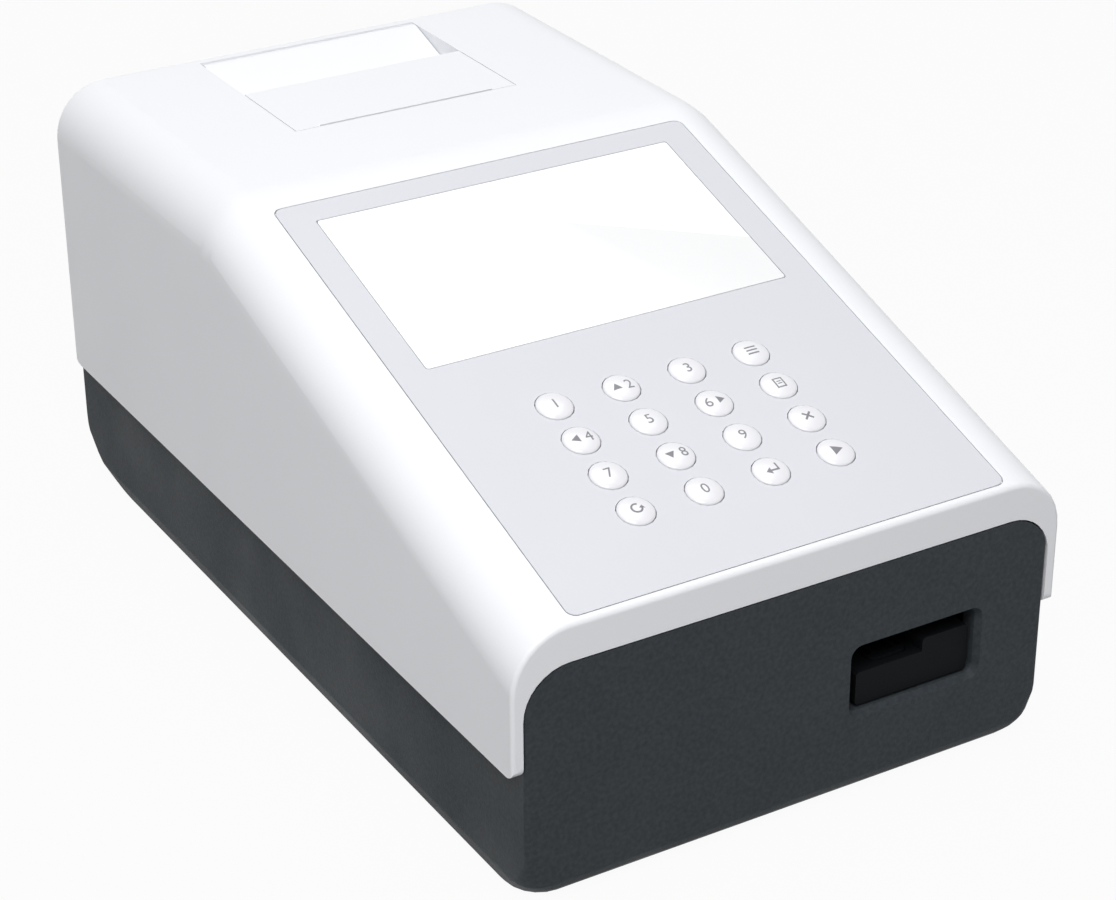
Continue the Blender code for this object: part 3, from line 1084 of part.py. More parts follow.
def make_feet_and_screws(materials):
    """Four rubber feet and the four screws that hold the cover on the base."""
    for number, (x, y) in enumerate(foot_places(), 1):
        foot = rod(FOOT_RADIUS, "Z", x, y, 0, FEET_STAND + FOOT_RECESS - SEAT_GAP)
        solid(f"rubber_foot_{number}", foot, materials["rubber"])
    for number, (x, y) in enumerate(column_places(), 1):
        head_top = SCREW_RECESS - SEAT_GAP
        profile = [(0, head_top - SCREW_HEAD_HEIGHT), (SCREW_HEAD_RADIUS, head_top - SCREW_HEAD_HEIGHT),
                   (SCREW_HEAD_RADIUS, head_top), (SCREW_RADIUS, head_top),
                   (SCREW_RADIUS, BOSS_TOP + SCREW_REACH), (0, BOSS_TOP + SCREW_REACH)]
        screw = turned(profile, SMALL_STEPS)
        screw.transform(Matrix.Translation((x, y, 0)))
        solid(f"case_screw_{number}", screw, materials["metal"])


def main():
    clear_scene()
    materials = make_materials()
    frame = bpy.data.objects.new("panel_frame", None)
    frame.matrix_world = PANEL_FRAME
    bpy.context.collection.objects.link(frame)
    make_top_cover(materials)
    make_base(materials)
    make_panel(materials, frame)
    make_keys(materials, frame)
    make_door(materials)
    make_printer(materials)
    make_tray(materials)
    make_tray_drive(materials)
    make_reader(materials)
    make_main_board(materials)
    make_sockets(materials)
    make_feet_and_screws(materials)


main()
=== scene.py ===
"""Looks of a desktop urine strip analyzer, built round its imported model. Metres, +Z up."""

import math

import bmesh
import bpy
from bpy.props import FloatProperty, FloatVectorProperty, IntProperty, PointerProperty
from mathutils import Matrix, Vector


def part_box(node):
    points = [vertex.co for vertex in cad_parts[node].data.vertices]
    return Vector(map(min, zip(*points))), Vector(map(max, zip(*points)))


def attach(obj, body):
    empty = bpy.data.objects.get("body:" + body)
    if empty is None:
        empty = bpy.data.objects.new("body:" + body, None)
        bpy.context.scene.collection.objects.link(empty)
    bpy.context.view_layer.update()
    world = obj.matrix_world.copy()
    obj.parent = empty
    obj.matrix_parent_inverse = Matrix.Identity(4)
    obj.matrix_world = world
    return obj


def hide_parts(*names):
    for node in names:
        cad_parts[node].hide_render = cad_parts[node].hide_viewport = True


bl_info = {
    "name": "Strip analyzer looks",
    "version": (1, 0, 0),
    "blender": (4, 5, 0),
    "location": "3D View > Sidebar > Analyzer",
    "description": "Finishes and small parts of a desktop urine strip analyzer",
    "category": "Object",
}

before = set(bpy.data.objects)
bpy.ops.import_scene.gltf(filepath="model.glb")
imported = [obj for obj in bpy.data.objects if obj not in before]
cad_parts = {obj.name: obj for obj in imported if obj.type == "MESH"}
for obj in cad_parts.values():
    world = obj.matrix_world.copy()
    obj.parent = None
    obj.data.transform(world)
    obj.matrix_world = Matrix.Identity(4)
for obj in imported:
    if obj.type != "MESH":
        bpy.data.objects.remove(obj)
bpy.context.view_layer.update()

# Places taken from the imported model
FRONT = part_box("base_tub")[0].y
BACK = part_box("base_tub")[1].y
CREASE_HEIGHT = 0.0833
KNEE_PLACE = 0.17237
SLOPE = math.atan2(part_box("top_cover")[1].z - CREASE_HEIGHT, KNEE_PLACE)
PANEL_FRAME = Matrix.Translation((0, FRONT, CREASE_HEIGHT)) @ Matrix.Rotation(SLOPE, 4, "X")

# Rear pieces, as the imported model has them
ROCKER_PIVOT = Vector((-0.030, BACK - 0.0123, 0.0298))
ROCKER_RADIUS = 0.0120
ROCKER_SKIN = 0.00008
ROCKER_MARK_TURNS = (("bar", math.radians(14)), ("ring", math.radians(-28)))
RING_STEPS = 24
SERIAL_HALF_WIDTH = 0.0072
SERIAL_HALF_HEIGHT = 0.0031
SERIAL_TAPER = 0.0009
SERIAL_SKIN = 0.0002
SERIAL_SEAT = 0.0058
NUT_REACH = 0.0125
USB_CONTACT = (0.0009, 0.0070, 0.00012)
USB_CONTACT_REACH = 0.0012
USB_CONTACT_RISE = 0.0016
USB_CONTACT_DEPTH = 0.0050

# Small forms
INK_LIFT = 0.00003
INK_SINK = 0.00006
CROWN_STEPS = 9
LENS_STEPS = 6
LENS_SIDES = 40
PART_ROW_SHARES = (0.64, 0.71, 0.78)
# Size of the dark block at each screw's end: painted shade of a cross slot
SLOT_SHADE_SIZE = (0.0030, 0.0006, 0.00012)
FOOT_EDGE = 0.0003
CUT_ROUNDS = 3
CUT_SHARE = 0.12

# Edges and shading
# Front edges of the base inside the cover, which get a black chamfer: painted shadow of the gap between
# cover and base
SEAM_FOOT = 0.046
SEAM_CENTRE = 0.055
GAP_SHADOW_WIDTH = 0.0006
SHARP = math.radians(32)
FLAT_ANGLE = math.radians(0.2)
MERGE_DISTANCE = 0.000002

# Stage, with the camera found by fitting the housing's corners in the photograph
AIM = Vector((0, 0, 0.05))
KEY_LAMP = (Vector((-0.66, -0.92, 1.40)), 0.9)
TOP_LAMP = (Vector((0.15, 0.25, 1.40)), 1.2)
FLOOR_DROP = -0.0002
FLOOR_GLOW_SHARE = 0.95
CAMERA_PLACE = Vector((-0.38300, -0.66925, 0.45125))
CAMERA_TURN = math.radians(30.603)
CAMERA_DROP = math.radians(27.575)
CAMERA_ROLL = math.radians(-0.278)
CAMERA_LENS = 93.70
CAMERA_FILM = 36.0

# Keys, row by row
KEY_ROWS = (("key_1", "key_2", "key_3", "key_menu"),
            ("key_4", "key_5", "key_6", "key_print"),
            ("key_7", "key_8", "key_9", "key_cancel"),
            ("key_clear", "key_0", "key_enter", "key_start"))
# Digit and arrow printed on each number key: text, its shift, arrow's turn, the arrow's shift
NUMBER_LEGENDS = {
    "key_1": ("1", 0, None, 0), "key_2": ("2", 0.58, 0, -0.50), "key_3": ("3", 0, None, 0),
    "key_4": ("4", 0.58, 90, -0.50), "key_5": ("5", 0, None, 0), "key_6": ("6", -0.58, -90, 0.50),
    "key_7": ("7", 0, None, 0), "key_8": ("8", 0.58, 180, -0.50), "key_9": ("9", 0, None, 0),
    "key_0": ("0", 0, None, 0),
}


# ---------------------------------------------------------------- sizes and colours


def colour_property(name, words, value):
    return FloatVectorProperty(name=name, description=words, default=value, size=3, min=0, max=1,
                               subtype="COLOR")


def length_property(name, words, value):
    return FloatProperty(name=name, description=words, default=value, min=0, precision=5,
                         unit="LENGTH", subtype="DISTANCE")


class HousingSettings(bpy.types.PropertyGroup):
    """Colours and grain of the moulded housing."""
    cover_colour: colour_property("Cover", "Near white of the top cover and the door", (0.86, 0.87, 0.90))
    base_colour: colour_property("Base", "Charcoal of the base", (0.040, 0.047, 0.053))
    panel_colour: colour_property("Panel film", "Pale grey of the panel film", (0.655, 0.665, 0.71))
    screen_colour: colour_property("Screen", "Blank lit display behind the pane", (0.95, 0.96, 0.97))
    cover_roughness: FloatProperty(name="Cover roughness", description="Satin of the cover", default=0.42)
    base_roughness: FloatProperty(name="Base roughness", description="Matt of the base", default=0.58)
    grain: length_property("Grain", "Size of the moulded grain", 0.00045)
    edge: length_property("Edges", "Softening of the housing's moulded edges", 0.0003)


class KeySettings(bpy.types.PropertyGroup):
    """The round keys and what is printed on them."""
    radius: length_property("Radius", "Radius of a key", 0.0052)
    dome: length_property("Dome", "Height of a key's dome over the panel", 0.0013)
    under: length_property("Depth", "Depth of a key's shaft under the panel", 0.0033)
    flange: length_property("Flange", "Width and depth of the flange under the cover", 0.0010)
    stem_radius: length_property("Stem radius", "Radius of the stem that presses the switch", 0.0018)
    stem: length_property("Stem", "Length of the stem", 0.0012)
    left: FloatProperty(name="Left column", description="Place of the left column", default=-0.0328)
    pitch: length_property("Pitch", "Spacing of the columns", 0.02096)
    top_row: length_property("Top row", "Distance of the top row up the slope", 0.0717)
    row_pitch: length_property("Row pitch", "Spacing of the rows along the slope", 0.01428)
    sides: IntProperty(name="Sides", description="Steps round a key", default=48, min=12)
    ink_height: length_property("Ink height", "Height of a printed digit", 0.0036)
    key_colour: colour_property("Key", "Pearl grey of the keys", (0.80, 0.80, 0.83))
    ink_colour: colour_property("Ink", "Grey ink of the key prints", (0.20, 0.20, 0.22))


class RearSettings(bpy.types.PropertyGroup):
    """Contacts, nuts and marks on the back."""
    pin_radius: length_property("Pin radius", "Radius of a data socket's pin", 0.0005)
    pin_length: length_property("Pin length", "Length of a data socket's pin", 0.0046)
    pin_pitch: length_property("Pin pitch", "Spacing of the pins in a row", 0.00274)
    pin_rows: length_property("Pin rows", "Spacing of the two rows of pins", 0.00284)
    nut_radius: length_property("Nut radius", "Radius of a data socket's nuts", 0.0026)
    nut_length: length_property("Nut length", "Length of a data socket's nuts", 0.0050)
    mark_size: length_property("Mark size", "Height of the marks on the rocker", 0.0034)


class BoardSettings(bpy.types.PropertyGroup):
    """Small parts on the circuit boards."""
    chip: FloatVectorProperty(name="Small part", description="Length, depth and height of a small part",
                              default=(0.0030, 0.0016, 0.0012), size=3, unit="LENGTH")
    pitch: length_property("Pitch", "Spacing of the small parts", 0.0058)


class StageSettings(bpy.types.PropertyGroup):
    """Floor, lamps and camera."""
    key_power: FloatProperty(name="Key lamp", description="Power of the lamp at the front left",
                             default=21.5, unit="POWER")
    top_power: FloatProperty(name="Top lamp", description="Power of the lamp overhead", default=7.5,
                             unit="POWER")
    world: FloatProperty(name="Surroundings", description="Strength of the even light", default=0.22)
    floor_size: length_property("Floor", "Width of the floor", 6.0)


# ---------------------------------------------------------------- materials


class Finish:
    """A material whose nodes are added one at a time."""

    def __init__(self, name, colour, roughness, metallic=0.0, specular=0.5, coat=0.0):
        self.material = bpy.data.materials.new(name)
        self.material.use_nodes = True
        self.tree = self.material.node_tree
        self.shader = self.tree.nodes["Principled BSDF"]
        self.shader.inputs["Base Color"].default_value = (*colour, 1.0)
        self.shader.inputs["Roughness"].default_value = roughness
        self.shader.inputs["Metallic"].default_value = metallic
        self.shader.inputs["Specular IOR Level"].default_value = specular
        self.shader.inputs["Coat Weight"].default_value = coat
        self.material.diffuse_color = (*colour, 1.0)
        self.colour = colour
        self.roughness = roughness
        self.place = self.add("ShaderNodeTexCoord").outputs["Object"]

    def add(self, kind, **inputs):
        node = self.tree.nodes.new(kind)
        for key, value in inputs.items():
            self.put(node.inputs[key.replace("_", " ")], value)
        return node

    def put(self, socket, value):
        if isinstance(value, bpy.types.NodeSocket):
            self.tree.links.new(value, socket)
        else:
            socket.default_value = value

    def stretched(self, scale, turn=(0, 0, 0)):
        return self.add("ShaderNodeMapping", Vector=self.place, Rotation=turn, Scale=scale).outputs["Vector"]

    def noise(self, scale, detail=2.0, place=None):
        return self.add("ShaderNodeTexNoise", Vector=place or self.place, Scale=scale,
                        Detail=detail).outputs["Fac"]

    def spread(self, source, low, high):
        """The middle of a noise stretched to run from low to high."""
        node = self.add("ShaderNodeMapRange", Value=source)
        for key, value in (("From Min", 0.3), ("From Max", 0.7), ("To Min", low), ("To Max", high)):
            node.inputs[key].default_value = value
        return node.outputs["Result"]

    def between(self, first, second, share):
        node = self.tree.nodes.new("ShaderNodeMix")
        node.data_type = "RGBA"
        self.put(node.inputs["Factor"], share)
        for socket, value in ((node.inputs[6], first), (node.inputs[7], second)):
            self.put(socket, value if isinstance(value, bpy.types.NodeSocket) else (*value, 1.0))
        return node.outputs[2]

    def tint(self, colour):
        self.put(self.shader.inputs["Base Color"], colour)

    def mottle(self, scale, share):
        """Slight lightness changes over the surface."""
        dark = tuple(part * (1 - share) for part in self.colour)
        light = tuple(min(1, part * (1 + share)) for part in self.colour)
        self.tint(self.between(dark, light, self.spread(self.noise(scale), 0, 1)))

    def polish(self, scale, share):
        """Slight changes of roughness over the surface."""
        low, high = self.roughness * (1 - share), self.roughness * (1 + share)
        self.put(self.shader.inputs["Roughness"], self.spread(self.noise(scale), low, high))

    def bump(self, height, distance, strength=1.0):
        node = self.add("ShaderNodeBump", Height=height, Strength=strength, Distance=distance)
        self.put(self.shader.inputs["Normal"], node.outputs["Normal"])


def moulded(name, colour, roughness, grain, depth, mottle=0.02, spots=18, **more):
    """A moulded plastic with a fine grain."""
    finish = Finish(name, colour, roughness, **more)
    finish.mottle(spots, mottle)
    finish.polish(35, 0.10)
    finish.bump(finish.noise(1 / grain, 3), depth)
    return finish.material


def brushed(name, colour, roughness):
    finish = Finish(name, colour, roughness, metallic=1.0)
    lines = finish.noise(1, 3, finish.stretched((60, 2400, 2400)))
    finish.put(finish.shader.inputs["Roughness"], finish.spread(lines, roughness * 0.75, roughness * 1.3))
    finish.tint(finish.between(tuple(part * 0.85 for part in colour), colour, lines))
    finish.bump(lines, 0.00002)
    return finish.material


def film_material(colour):
    """The panel's printed film: very fine tooth, slightly glossy."""
    finish = Finish("panel_film", colour, 0.34, specular=0.45)
    finish.mottle(7, 0.012)
    finish.polish(60, 0.08)
    finish.bump(finish.noise(5200, 2), 0.000008)
    return finish.material


def screen_material(colour):
    """A glossy pane over a blank lit screen, with a painted slanting sheen in its lower part: a reflection
    painted into the screen's colour as a greyer patch.
    """
    finish = Finish("display_pane", colour, 0.10, specular=0.5, coat=0.3)
    axes = finish.add("ShaderNodeSeparateXYZ", Vector=finish.place)
    x, y = axes.outputs["X"], axes.outputs["Y"]

    def beyond(slant_x, slant_y, offset, soft):
        first = finish.add("ShaderNodeMath")
        first.operation = "MULTIPLY_ADD"
        finish.put(first.inputs[0], x)
        first.inputs[1].default_value = slant_x
        first.inputs[2].default_value = offset
        second = finish.add("ShaderNodeMath")
        second.operation = "MULTIPLY_ADD"
        finish.put(second.inputs[0], y)
        second.inputs[1].default_value = slant_y
        finish.put(second.inputs[2], first.outputs[0])
        node = finish.add("ShaderNodeMapRange", Value=second.outputs[0])
        node.inputs["From Max"].default_value = soft
        return node.outputs["Result"]

    # Masks of the painted reflection: below a slanting edge, and further towards the right
    lower = beyond(-0.47, -1.0, -0.0056, 0.0004)
    right = beyond(1.0, 0.55, 0.0104, 0.0160)
    painted_sheen_mask = finish.add("ShaderNodeMath")
    painted_sheen_mask.operation = "MULTIPLY"
    finish.put(painted_sheen_mask.inputs[0], lower)
    finish.put(painted_sheen_mask.inputs[1], right)
    # Lower part painted slightly greyer and the right of it painted grey: a painted reflection, not the
    # screen's own colour
    white = finish.between(colour, tuple(part * 0.975 for part in colour), lower)
    finish.tint(finish.between(white, (0.80, 0.81, 0.815), painted_sheen_mask.outputs[0]))
    finish.put(finish.shader.inputs["Roughness"], finish.spread(finish.noise(25), 0.08, 0.13))
    finish.shader.inputs["Emission Color"].default_value = (1, 1, 1, 1)
    finish.shader.inputs["Emission Strength"].default_value = 0.05
    return finish.material


def board_material():
    """Green solder mask with fine tracks and plated holes."""
    green = (0.012, 0.105, 0.045)
    finish = Finish("circuit_board", green, 0.34, coat=0.2)
    track = finish.add("ShaderNodeTexBrick", Vector=finish.place, Scale=160.0, Mortar_Size=0.025)
    track.inputs["Color1"].default_value = (*green, 1)
    track.inputs["Color2"].default_value = (0.016, 0.125, 0.052, 1)
    track.inputs["Mortar"].default_value = (0.030, 0.190, 0.080, 1)
    holes = finish.add("ShaderNodeTexVoronoi", Vector=finish.place, Scale=420.0)
    ring = finish.spread(holes.outputs["Distance"], 1, 0)
    ring.node.inputs["From Min"].default_value = 0.05
    ring.node.inputs["From Max"].default_value = 0.12
    finish.tint(finish.between(track.outputs["Color"], (0.55, 0.50, 0.36), ring))
    finish.bump(track.outputs["Fac"], 0.00003)
    return finish.material


def paper_material():
    """Thermal paper, with the layers of the roll on its ends."""
    finish = Finish("thermal_paper", (0.90, 0.90, 0.885), 0.72, specular=0.25)
    low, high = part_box("paper_roll")
    middle = (low + high) / 2
    centred = finish.add("ShaderNodeMapping", Vector=finish.place,
                         Location=(-middle.x, -middle.y, -middle.z)).outputs["Vector"]
    rings = finish.add("ShaderNodeTexWave", Vector=centred, Scale=900.0, Distortion=0.4)
    rings.wave_type = "RINGS"
    rings.rings_direction = "X"
    layers = finish.spread(rings.outputs["Fac"], 0, 1)
    finish.tint(finish.between((0.80, 0.79, 0.77), (0.91, 0.91, 0.895), layers))
    finish.bump(finish.noise(2600, 3), 0.00002)
    return finish.material


def rubber_material():
    finish = Finish("rubber", (0.022, 0.022, 0.024), 0.80, specular=0.3)
    finish.mottle(60, 0.15)
    finish.polish(90, 0.12)
    finish.bump(finish.noise(2200, 3), 0.00005)
    return finish.material


def floor_material():
    """Pale floor that shows white to the camera and keeps a soft shadow."""
    finish = Finish("studio_floor", (0.42, 0.42, 0.42), 0.9, specular=0.0)
    finish.mottle(2, 0.004)
    seen = background_rays(finish)
    glow = finish.add("ShaderNodeEmission", Color=(1, 1, 1, 1), Strength=1.0)
    mixed = finish.tree.nodes.new("ShaderNodeMixShader")
    share = finish.add("ShaderNodeMath")
    share.operation = "MULTIPLY"
    finish.put(share.inputs[0], seen)
    share.inputs[1].default_value = FLOOR_GLOW_SHARE
    finish.put(mixed.inputs[0], share.outputs[0])
    finish.put(mixed.inputs[1], finish.shader.outputs[0])
    finish.put(mixed.inputs[2], glow.outputs[0])
    finish.put(finish.tree.nodes["Material Output"].inputs["Surface"], mixed.outputs[0])
    return finish.material


def background_rays(finish):
    """One for rays that should meet the white background."""
    rays = finish.add("ShaderNodeLightPath")
    total = rays.outputs["Is Camera Ray"]
    for key in ("Is Glossy Ray", "Is Transmission Ray"):
        node = finish.add("ShaderNodeMath")
        node.operation = "MAXIMUM"
        finish.put(node.inputs[0], total)
        finish.put(node.inputs[1], rays.outputs[key])
        total = node.outputs[0]
    return total


def finishes():
    """Every finish, made once."""
    if "cover_plastic_satin" in bpy.data.materials:
        return {key: bpy.data.materials[name] for key, name in FINISH_NAMES.items()}
    housing = bpy.context.scene.analyzer_housing
    keys = bpy.context.scene.analyzer_keys
    grain = housing.grain
    made = {
        "cover": moulded("cover_plastic_satin", tuple(housing.cover_colour), housing.cover_roughness,
                         grain, 0.000012, 0.006, specular=0.45),
        "base": moulded("base_plastic_grained", tuple(housing.base_colour), housing.base_roughness,
                        grain, 0.00009, 0.16, spots=800, specular=0.12),
        # Near black for the chamfer in the gap between cover and base: painted shadow, not a colour of the
        # base
        "gap_shadow": moulded("seam_shadow", (0.002, 0.002, 0.003), 0.80, grain, 0.00001, 0.10,
                        specular=0.0),
        "panel": film_material(tuple(housing.panel_colour)),
        "window": screen_material(tuple(housing.screen_colour)),
        "key": moulded("key_plastic_pearl", tuple(keys.key_colour), 0.22, grain * 0.6, 0.000004, 0.01,
                       coat=0.3),
        "ink": moulded("key_ink", tuple(keys.ink_colour), 0.45, grain * 0.4, 0.000002, 0.08),
        "board": board_material(),
        "metal": brushed("steel_brushed", (0.56, 0.56, 0.57), 0.32),
        "gold": brushed("contact_plating", (0.80, 0.62, 0.30), 0.25),
        "black": moulded("black_plastic", (0.006, 0.007, 0.008), 0.55, grain, 0.00005, 0.12,
                         specular=0.05),
        "gear": moulded("gear_nylon", (0.80, 0.79, 0.72), 0.48, grain, 0.00002, 0.02),
        "rubber": rubber_material(),
        "paper": paper_material(),
        "chip": moulded("chip_resin", (0.020, 0.020, 0.022), 0.55, grain * 0.5, 0.00002, 0.15),
        "glass": moulded("lens_glass", (0.05, 0.06, 0.09), 0.05, 0.004, 0.000001, 0.05, coat=1.0),
        "mark": moulded("white_mark", (0.82, 0.82, 0.82), 0.45, grain, 0.00001, 0.02),
    }
    FINISH_NAMES.update({key: material.name for key, material in made.items()})
    return made


FINISH_NAMES = {}


# ---------------------------------------------------------------- shapes


def dress(nodes, material):
    """Gives CAD nodes a finish."""
    for name in nodes:
        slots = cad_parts[name].data.materials
        slots.clear()
        slots.append(material)


def piece(name, mesh, materials, body, replaced=()):
    """A finished piece at the origin, riding on a body."""
    thing = bpy.data.objects.new(name, mesh)
    bpy.context.scene.collection.objects.link(thing)
    mesh.materials.clear()
    for material in materials:
        mesh.materials.append(material)
    mesh.shade_smooth()
    mesh.set_sharp_from_angle(angle=SHARP)
    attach(thing, body)
    if replaced:
        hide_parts(*replaced)
    return thing


def is_seam(edge):
    """True for the edges of the base's front face that lie inside the cover."""
    away = max(abs(vertex.co.y - FRONT) for vertex in edge.verts)
    if len(edge.link_faces) != 2 or away > MERGE_DISTANCE:
        return False
    middle = (edge.verts[0].co + edge.verts[1].co) / 2
    outward = Vector((middle.x, 0, middle.z - SEAM_CENTRE))
    facing = max(face.normal.dot(outward) for face in edge.link_faces)
    return middle.z > SEAM_FOOT and facing > SEAM_CENTRE / 2


def smooth_copy(node, material, body, edge=0.0, gap_shadow=None):
    """Stands for a CAD node: the same form with shaded rounds and, where given, softened edges; where a gap
    shadow is given, the base's front edges inside the cover get a black chamfer, painted shadow of the gap
    between cover and base.
    """
    shape = bmesh.new()
    shape.from_mesh(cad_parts[node].data)
    bmesh.ops.remove_doubles(shape, verts=shape.verts, dist=MERGE_DISTANCE)
    bmesh.ops.dissolve_limit(shape, angle_limit=FLAT_ANGLE, verts=shape.verts, edges=shape.edges)
    weight = shape.edges.layers.float.new("bevel_weight_edge")
    for item in shape.edges:
        item[weight] = 1.0 if gap_shadow and is_seam(item) else 0.0
    mesh = bpy.data.meshes.new(node + "_draft")
    mesh.materials.append(material)
    shape.to_mesh(mesh)
    shape.free()
    mesh.shade_smooth()
    mesh.set_sharp_from_angle(angle=SHARP)
    draft = bpy.data.objects.new(node + "_draft", mesh)
    bpy.context.scene.collection.objects.link(draft)
    # The black chamfer on these edges is painted shadow of the gap between cover and base
    if gap_shadow:
        mesh.materials.append(gap_shadow)
        shadow_chamfer = draft.modifiers.new("gap_shadow", "BEVEL")
        shadow_chamfer.width = GAP_SHADOW_WIDTH
        shadow_chamfer.segments = 1
        shadow_chamfer.limit_method = "WEIGHT"
        shadow_chamfer.material = 1
    if edge:
        bevel = draft.modifiers.new("edges", "BEVEL")
        bevel.width = edge
        bevel.segments = 2
        bevel.limit_method = "ANGLE"
        bevel.angle_limit = SHARP * 1.5
        bevel.use_clamp_overlap = True
        bevel.harden_normals = True
    weighted = draft.modifiers.new("shading", "WEIGHTED_NORMAL")
    weighted.keep_sharp = True
    graph = bpy.context.evaluated_depsgraph_get()
    made = bpy.data.meshes.new_from_object(draft.evaluated_get(graph))
    draft.modifiers.clear()
    bpy.data.objects.remove(draft, do_unlink=True)
    made.name = node + "_shaded"
    thing = bpy.data.objects.new(node + "_shaded", made)
    bpy.context.scene.collection.objects.link(thing)
    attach(thing, body)
    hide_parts(node)
    return thing


def mesh_from(shape, name, place=None):
    bmesh.ops.recalc_face_normals(shape, faces=shape.faces)
    if place is not None:
        shape.transform(place)
    mesh = bpy.data.meshes.new(name)
    shape.to_mesh(mesh)
    shape.free()
    return mesh


def turned(shape, profile, sides):
    """Adds a turned form round Z to a shape; the profile's ends lie on the axis."""
    first = shape.verts.new((0, 0, profile[0][1]))
    last = shape.verts.new((0, 0, profile[-1][1]))
    rows = []
    for radius, height in profile[1:-1]:
        rows.append([shape.verts.new((radius * math.cos(math.tau * step / sides),
                                      radius * math.sin(math.tau * step / sides), height))
                     for step in range(sides)])
    for step in range(sides):
        after = (step + 1) % sides
        shape.faces.new((first, rows[0][after], rows[0][step]))
        shape.faces.new((last, rows[-1][step], rows[-1][after]))
        for lower, upper in zip(rows, rows[1:]):
            shape.faces.new((lower[step], lower[after], upper[after], upper[step]))


def point_tree(name, kind, material):
    """Rods or blocks set on every point of a mesh, joined into one mesh."""
    tree = bpy.data.node_groups.new(name, "GeometryNodeTree")
    face = tree.interface
    face.new_socket("Geometry", in_out="INPUT", socket_type="NodeSocketGeometry")
    face.new_socket("Geometry", in_out="OUTPUT", socket_type="NodeSocketGeometry")
    given = tree.nodes.new("NodeGroupInput")
    result = tree.nodes.new("NodeGroupOutput")
    if kind == "rod":
        form = tree.nodes.new("GeometryNodeMeshCylinder")
        wanted = (("Sides", "NodeSocketInt", "Vertices"), ("Radius", "NodeSocketFloat", "Radius"),
                  ("Length", "NodeSocketFloat", "Depth"))
    else:
        form = tree.nodes.new("GeometryNodeMeshCube")
        wanted = (("Size", "NodeSocketVector", "Size"),)
    for label, socket_type, target in wanted:
        face.new_socket(label, in_out="INPUT", socket_type=socket_type)
        tree.links.new(given.outputs[label], form.inputs[target])
    face.new_socket("Turn", in_out="INPUT", socket_type="NodeSocketVector")
    spread = tree.nodes.new("GeometryNodeInstanceOnPoints")
    real = tree.nodes.new("GeometryNodeRealizeInstances")
    coat = tree.nodes.new("GeometryNodeSetMaterial")
    coat.inputs["Material"].default_value = material
    tree.links.new(given.outputs["Geometry"], spread.inputs["Points"])
    tree.links.new(form.outputs["Mesh"], spread.inputs["Instance"])
    tree.links.new(given.outputs["Turn"], spread.inputs["Rotation"])
    tree.links.new(spread.outputs["Instances"], real.inputs["Geometry"])
    tree.links.new(real.outputs["Geometry"], coat.inputs["Geometry"])
    tree.links.new(coat.outputs["Geometry"], result.inputs["Geometry"])
    return tree


def repeated(name, kind, places, values, material):
    """The mesh that a point tree makes at the places given."""
    mesh = bpy.data.meshes.new(name)
    mesh.from_pydata(places, [], [])
    carrier = bpy.data.objects.new(name + "_points", mesh)
    bpy.context.scene.collection.objects.link(carrier)
    modifier = carrier.modifiers.new("repeat", "NODES")
    modifier.node_group = point_tree(name, kind, material)
    for item in modifier.node_group.interface.items_tree:
        if item.in_out == "INPUT" and item.name in values:
            modifier[item.identifier] = values[item.name]
    graph = bpy.context.evaluated_depsgraph_get()
    made = bpy.data.meshes.new_from_object(carrier.evaluated_get(graph))
    carrier.modifiers.clear()
    bpy.data.objects.remove(carrier, do_unlink=True)
    return made


# ---------------------------------------------------------------- key prints


def key_places():
    keys = bpy.context.scene.analyzer_keys
    for row, names in enumerate(KEY_ROWS):
        for column, name in enumerate(names):
            yield name, keys.left + keys.pitch * column, keys.top_row - keys.row_pitch * row


def dome_height(x, y, radius, dome):
    share = min(1.0, math.hypot(x, y) / radius)
    return dome * math.sqrt(1 - share ** 2)


def outline_mesh(outlines, size, shift=(0, 0), turn=0.0):
    """Flat faces from outlines drawn for a height of one."""
    shape = bmesh.new()
    place = Matrix.Translation((shift[0] * size, shift[1] * size, 0)) @ Matrix.Rotation(turn, 4, "Z")
    for outline in outlines:
        shape.faces.new([shape.verts.new(place @ Vector((a * size, b * size, 0))) for a, b in outline])
    return shape


def digit_mesh(text, size, shift=0.0):
    """A flat digit in the built-in typeface."""
    curve = bpy.data.curves.new("digit", "FONT")
    curve.body = text
    curve.size = size * 1.35
    curve.resolution_u = 3
    curve.align_x = "CENTER"
    curve.align_y = "CENTER"
    thing = bpy.data.objects.new("digit", curve)
    bpy.context.scene.collection.objects.link(thing)
    graph = bpy.context.evaluated_depsgraph_get()
    flat = bpy.data.meshes.new_from_object(thing.evaluated_get(graph))
    shape = bmesh.new()
    shape.from_mesh(flat)
    xs = [vertex.co.x for vertex in shape.verts]
    ys = [vertex.co.y for vertex in shape.verts]
    middle = ((min(xs) + max(xs)) / 2, (min(ys) + max(ys)) / 2)
    shape.transform(Matrix.Translation((shift * size - middle[0], -middle[1], 0)))
    bpy.data.meshes.remove(flat)
    bpy.data.objects.remove(thing, do_unlink=True)
    return shape


def bar(left, foot, right, head):
    return [(left, foot), (right, foot), (right, head), (left, head)]


def round_arrow():
    """Three quarters of a ring with an arrowhead, for the key that clears."""
    turns = [math.radians(60 + 15 * step) for step in range(20)]
    outer = [(0.42 * math.cos(turn), 0.42 * math.sin(turn)) for turn in turns]
    inner = [(0.29 * math.cos(turn), 0.29 * math.sin(turn)) for turn in turns]
    band = [[outer[step], outer[step + 1], inner[step + 1], inner[step]]
            for step in range(len(turns) - 1)]
    end = turns[-1]
    along = (-math.sin(end), math.cos(end))
    head = [(0.56 * math.cos(end), 0.56 * math.sin(end)),
            (0.355 * math.cos(end) + 0.26 * along[0], 0.355 * math.sin(end) + 0.26 * along[1]),
            (0.15 * math.cos(end), 0.15 * math.sin(end))]
    return band + [head]


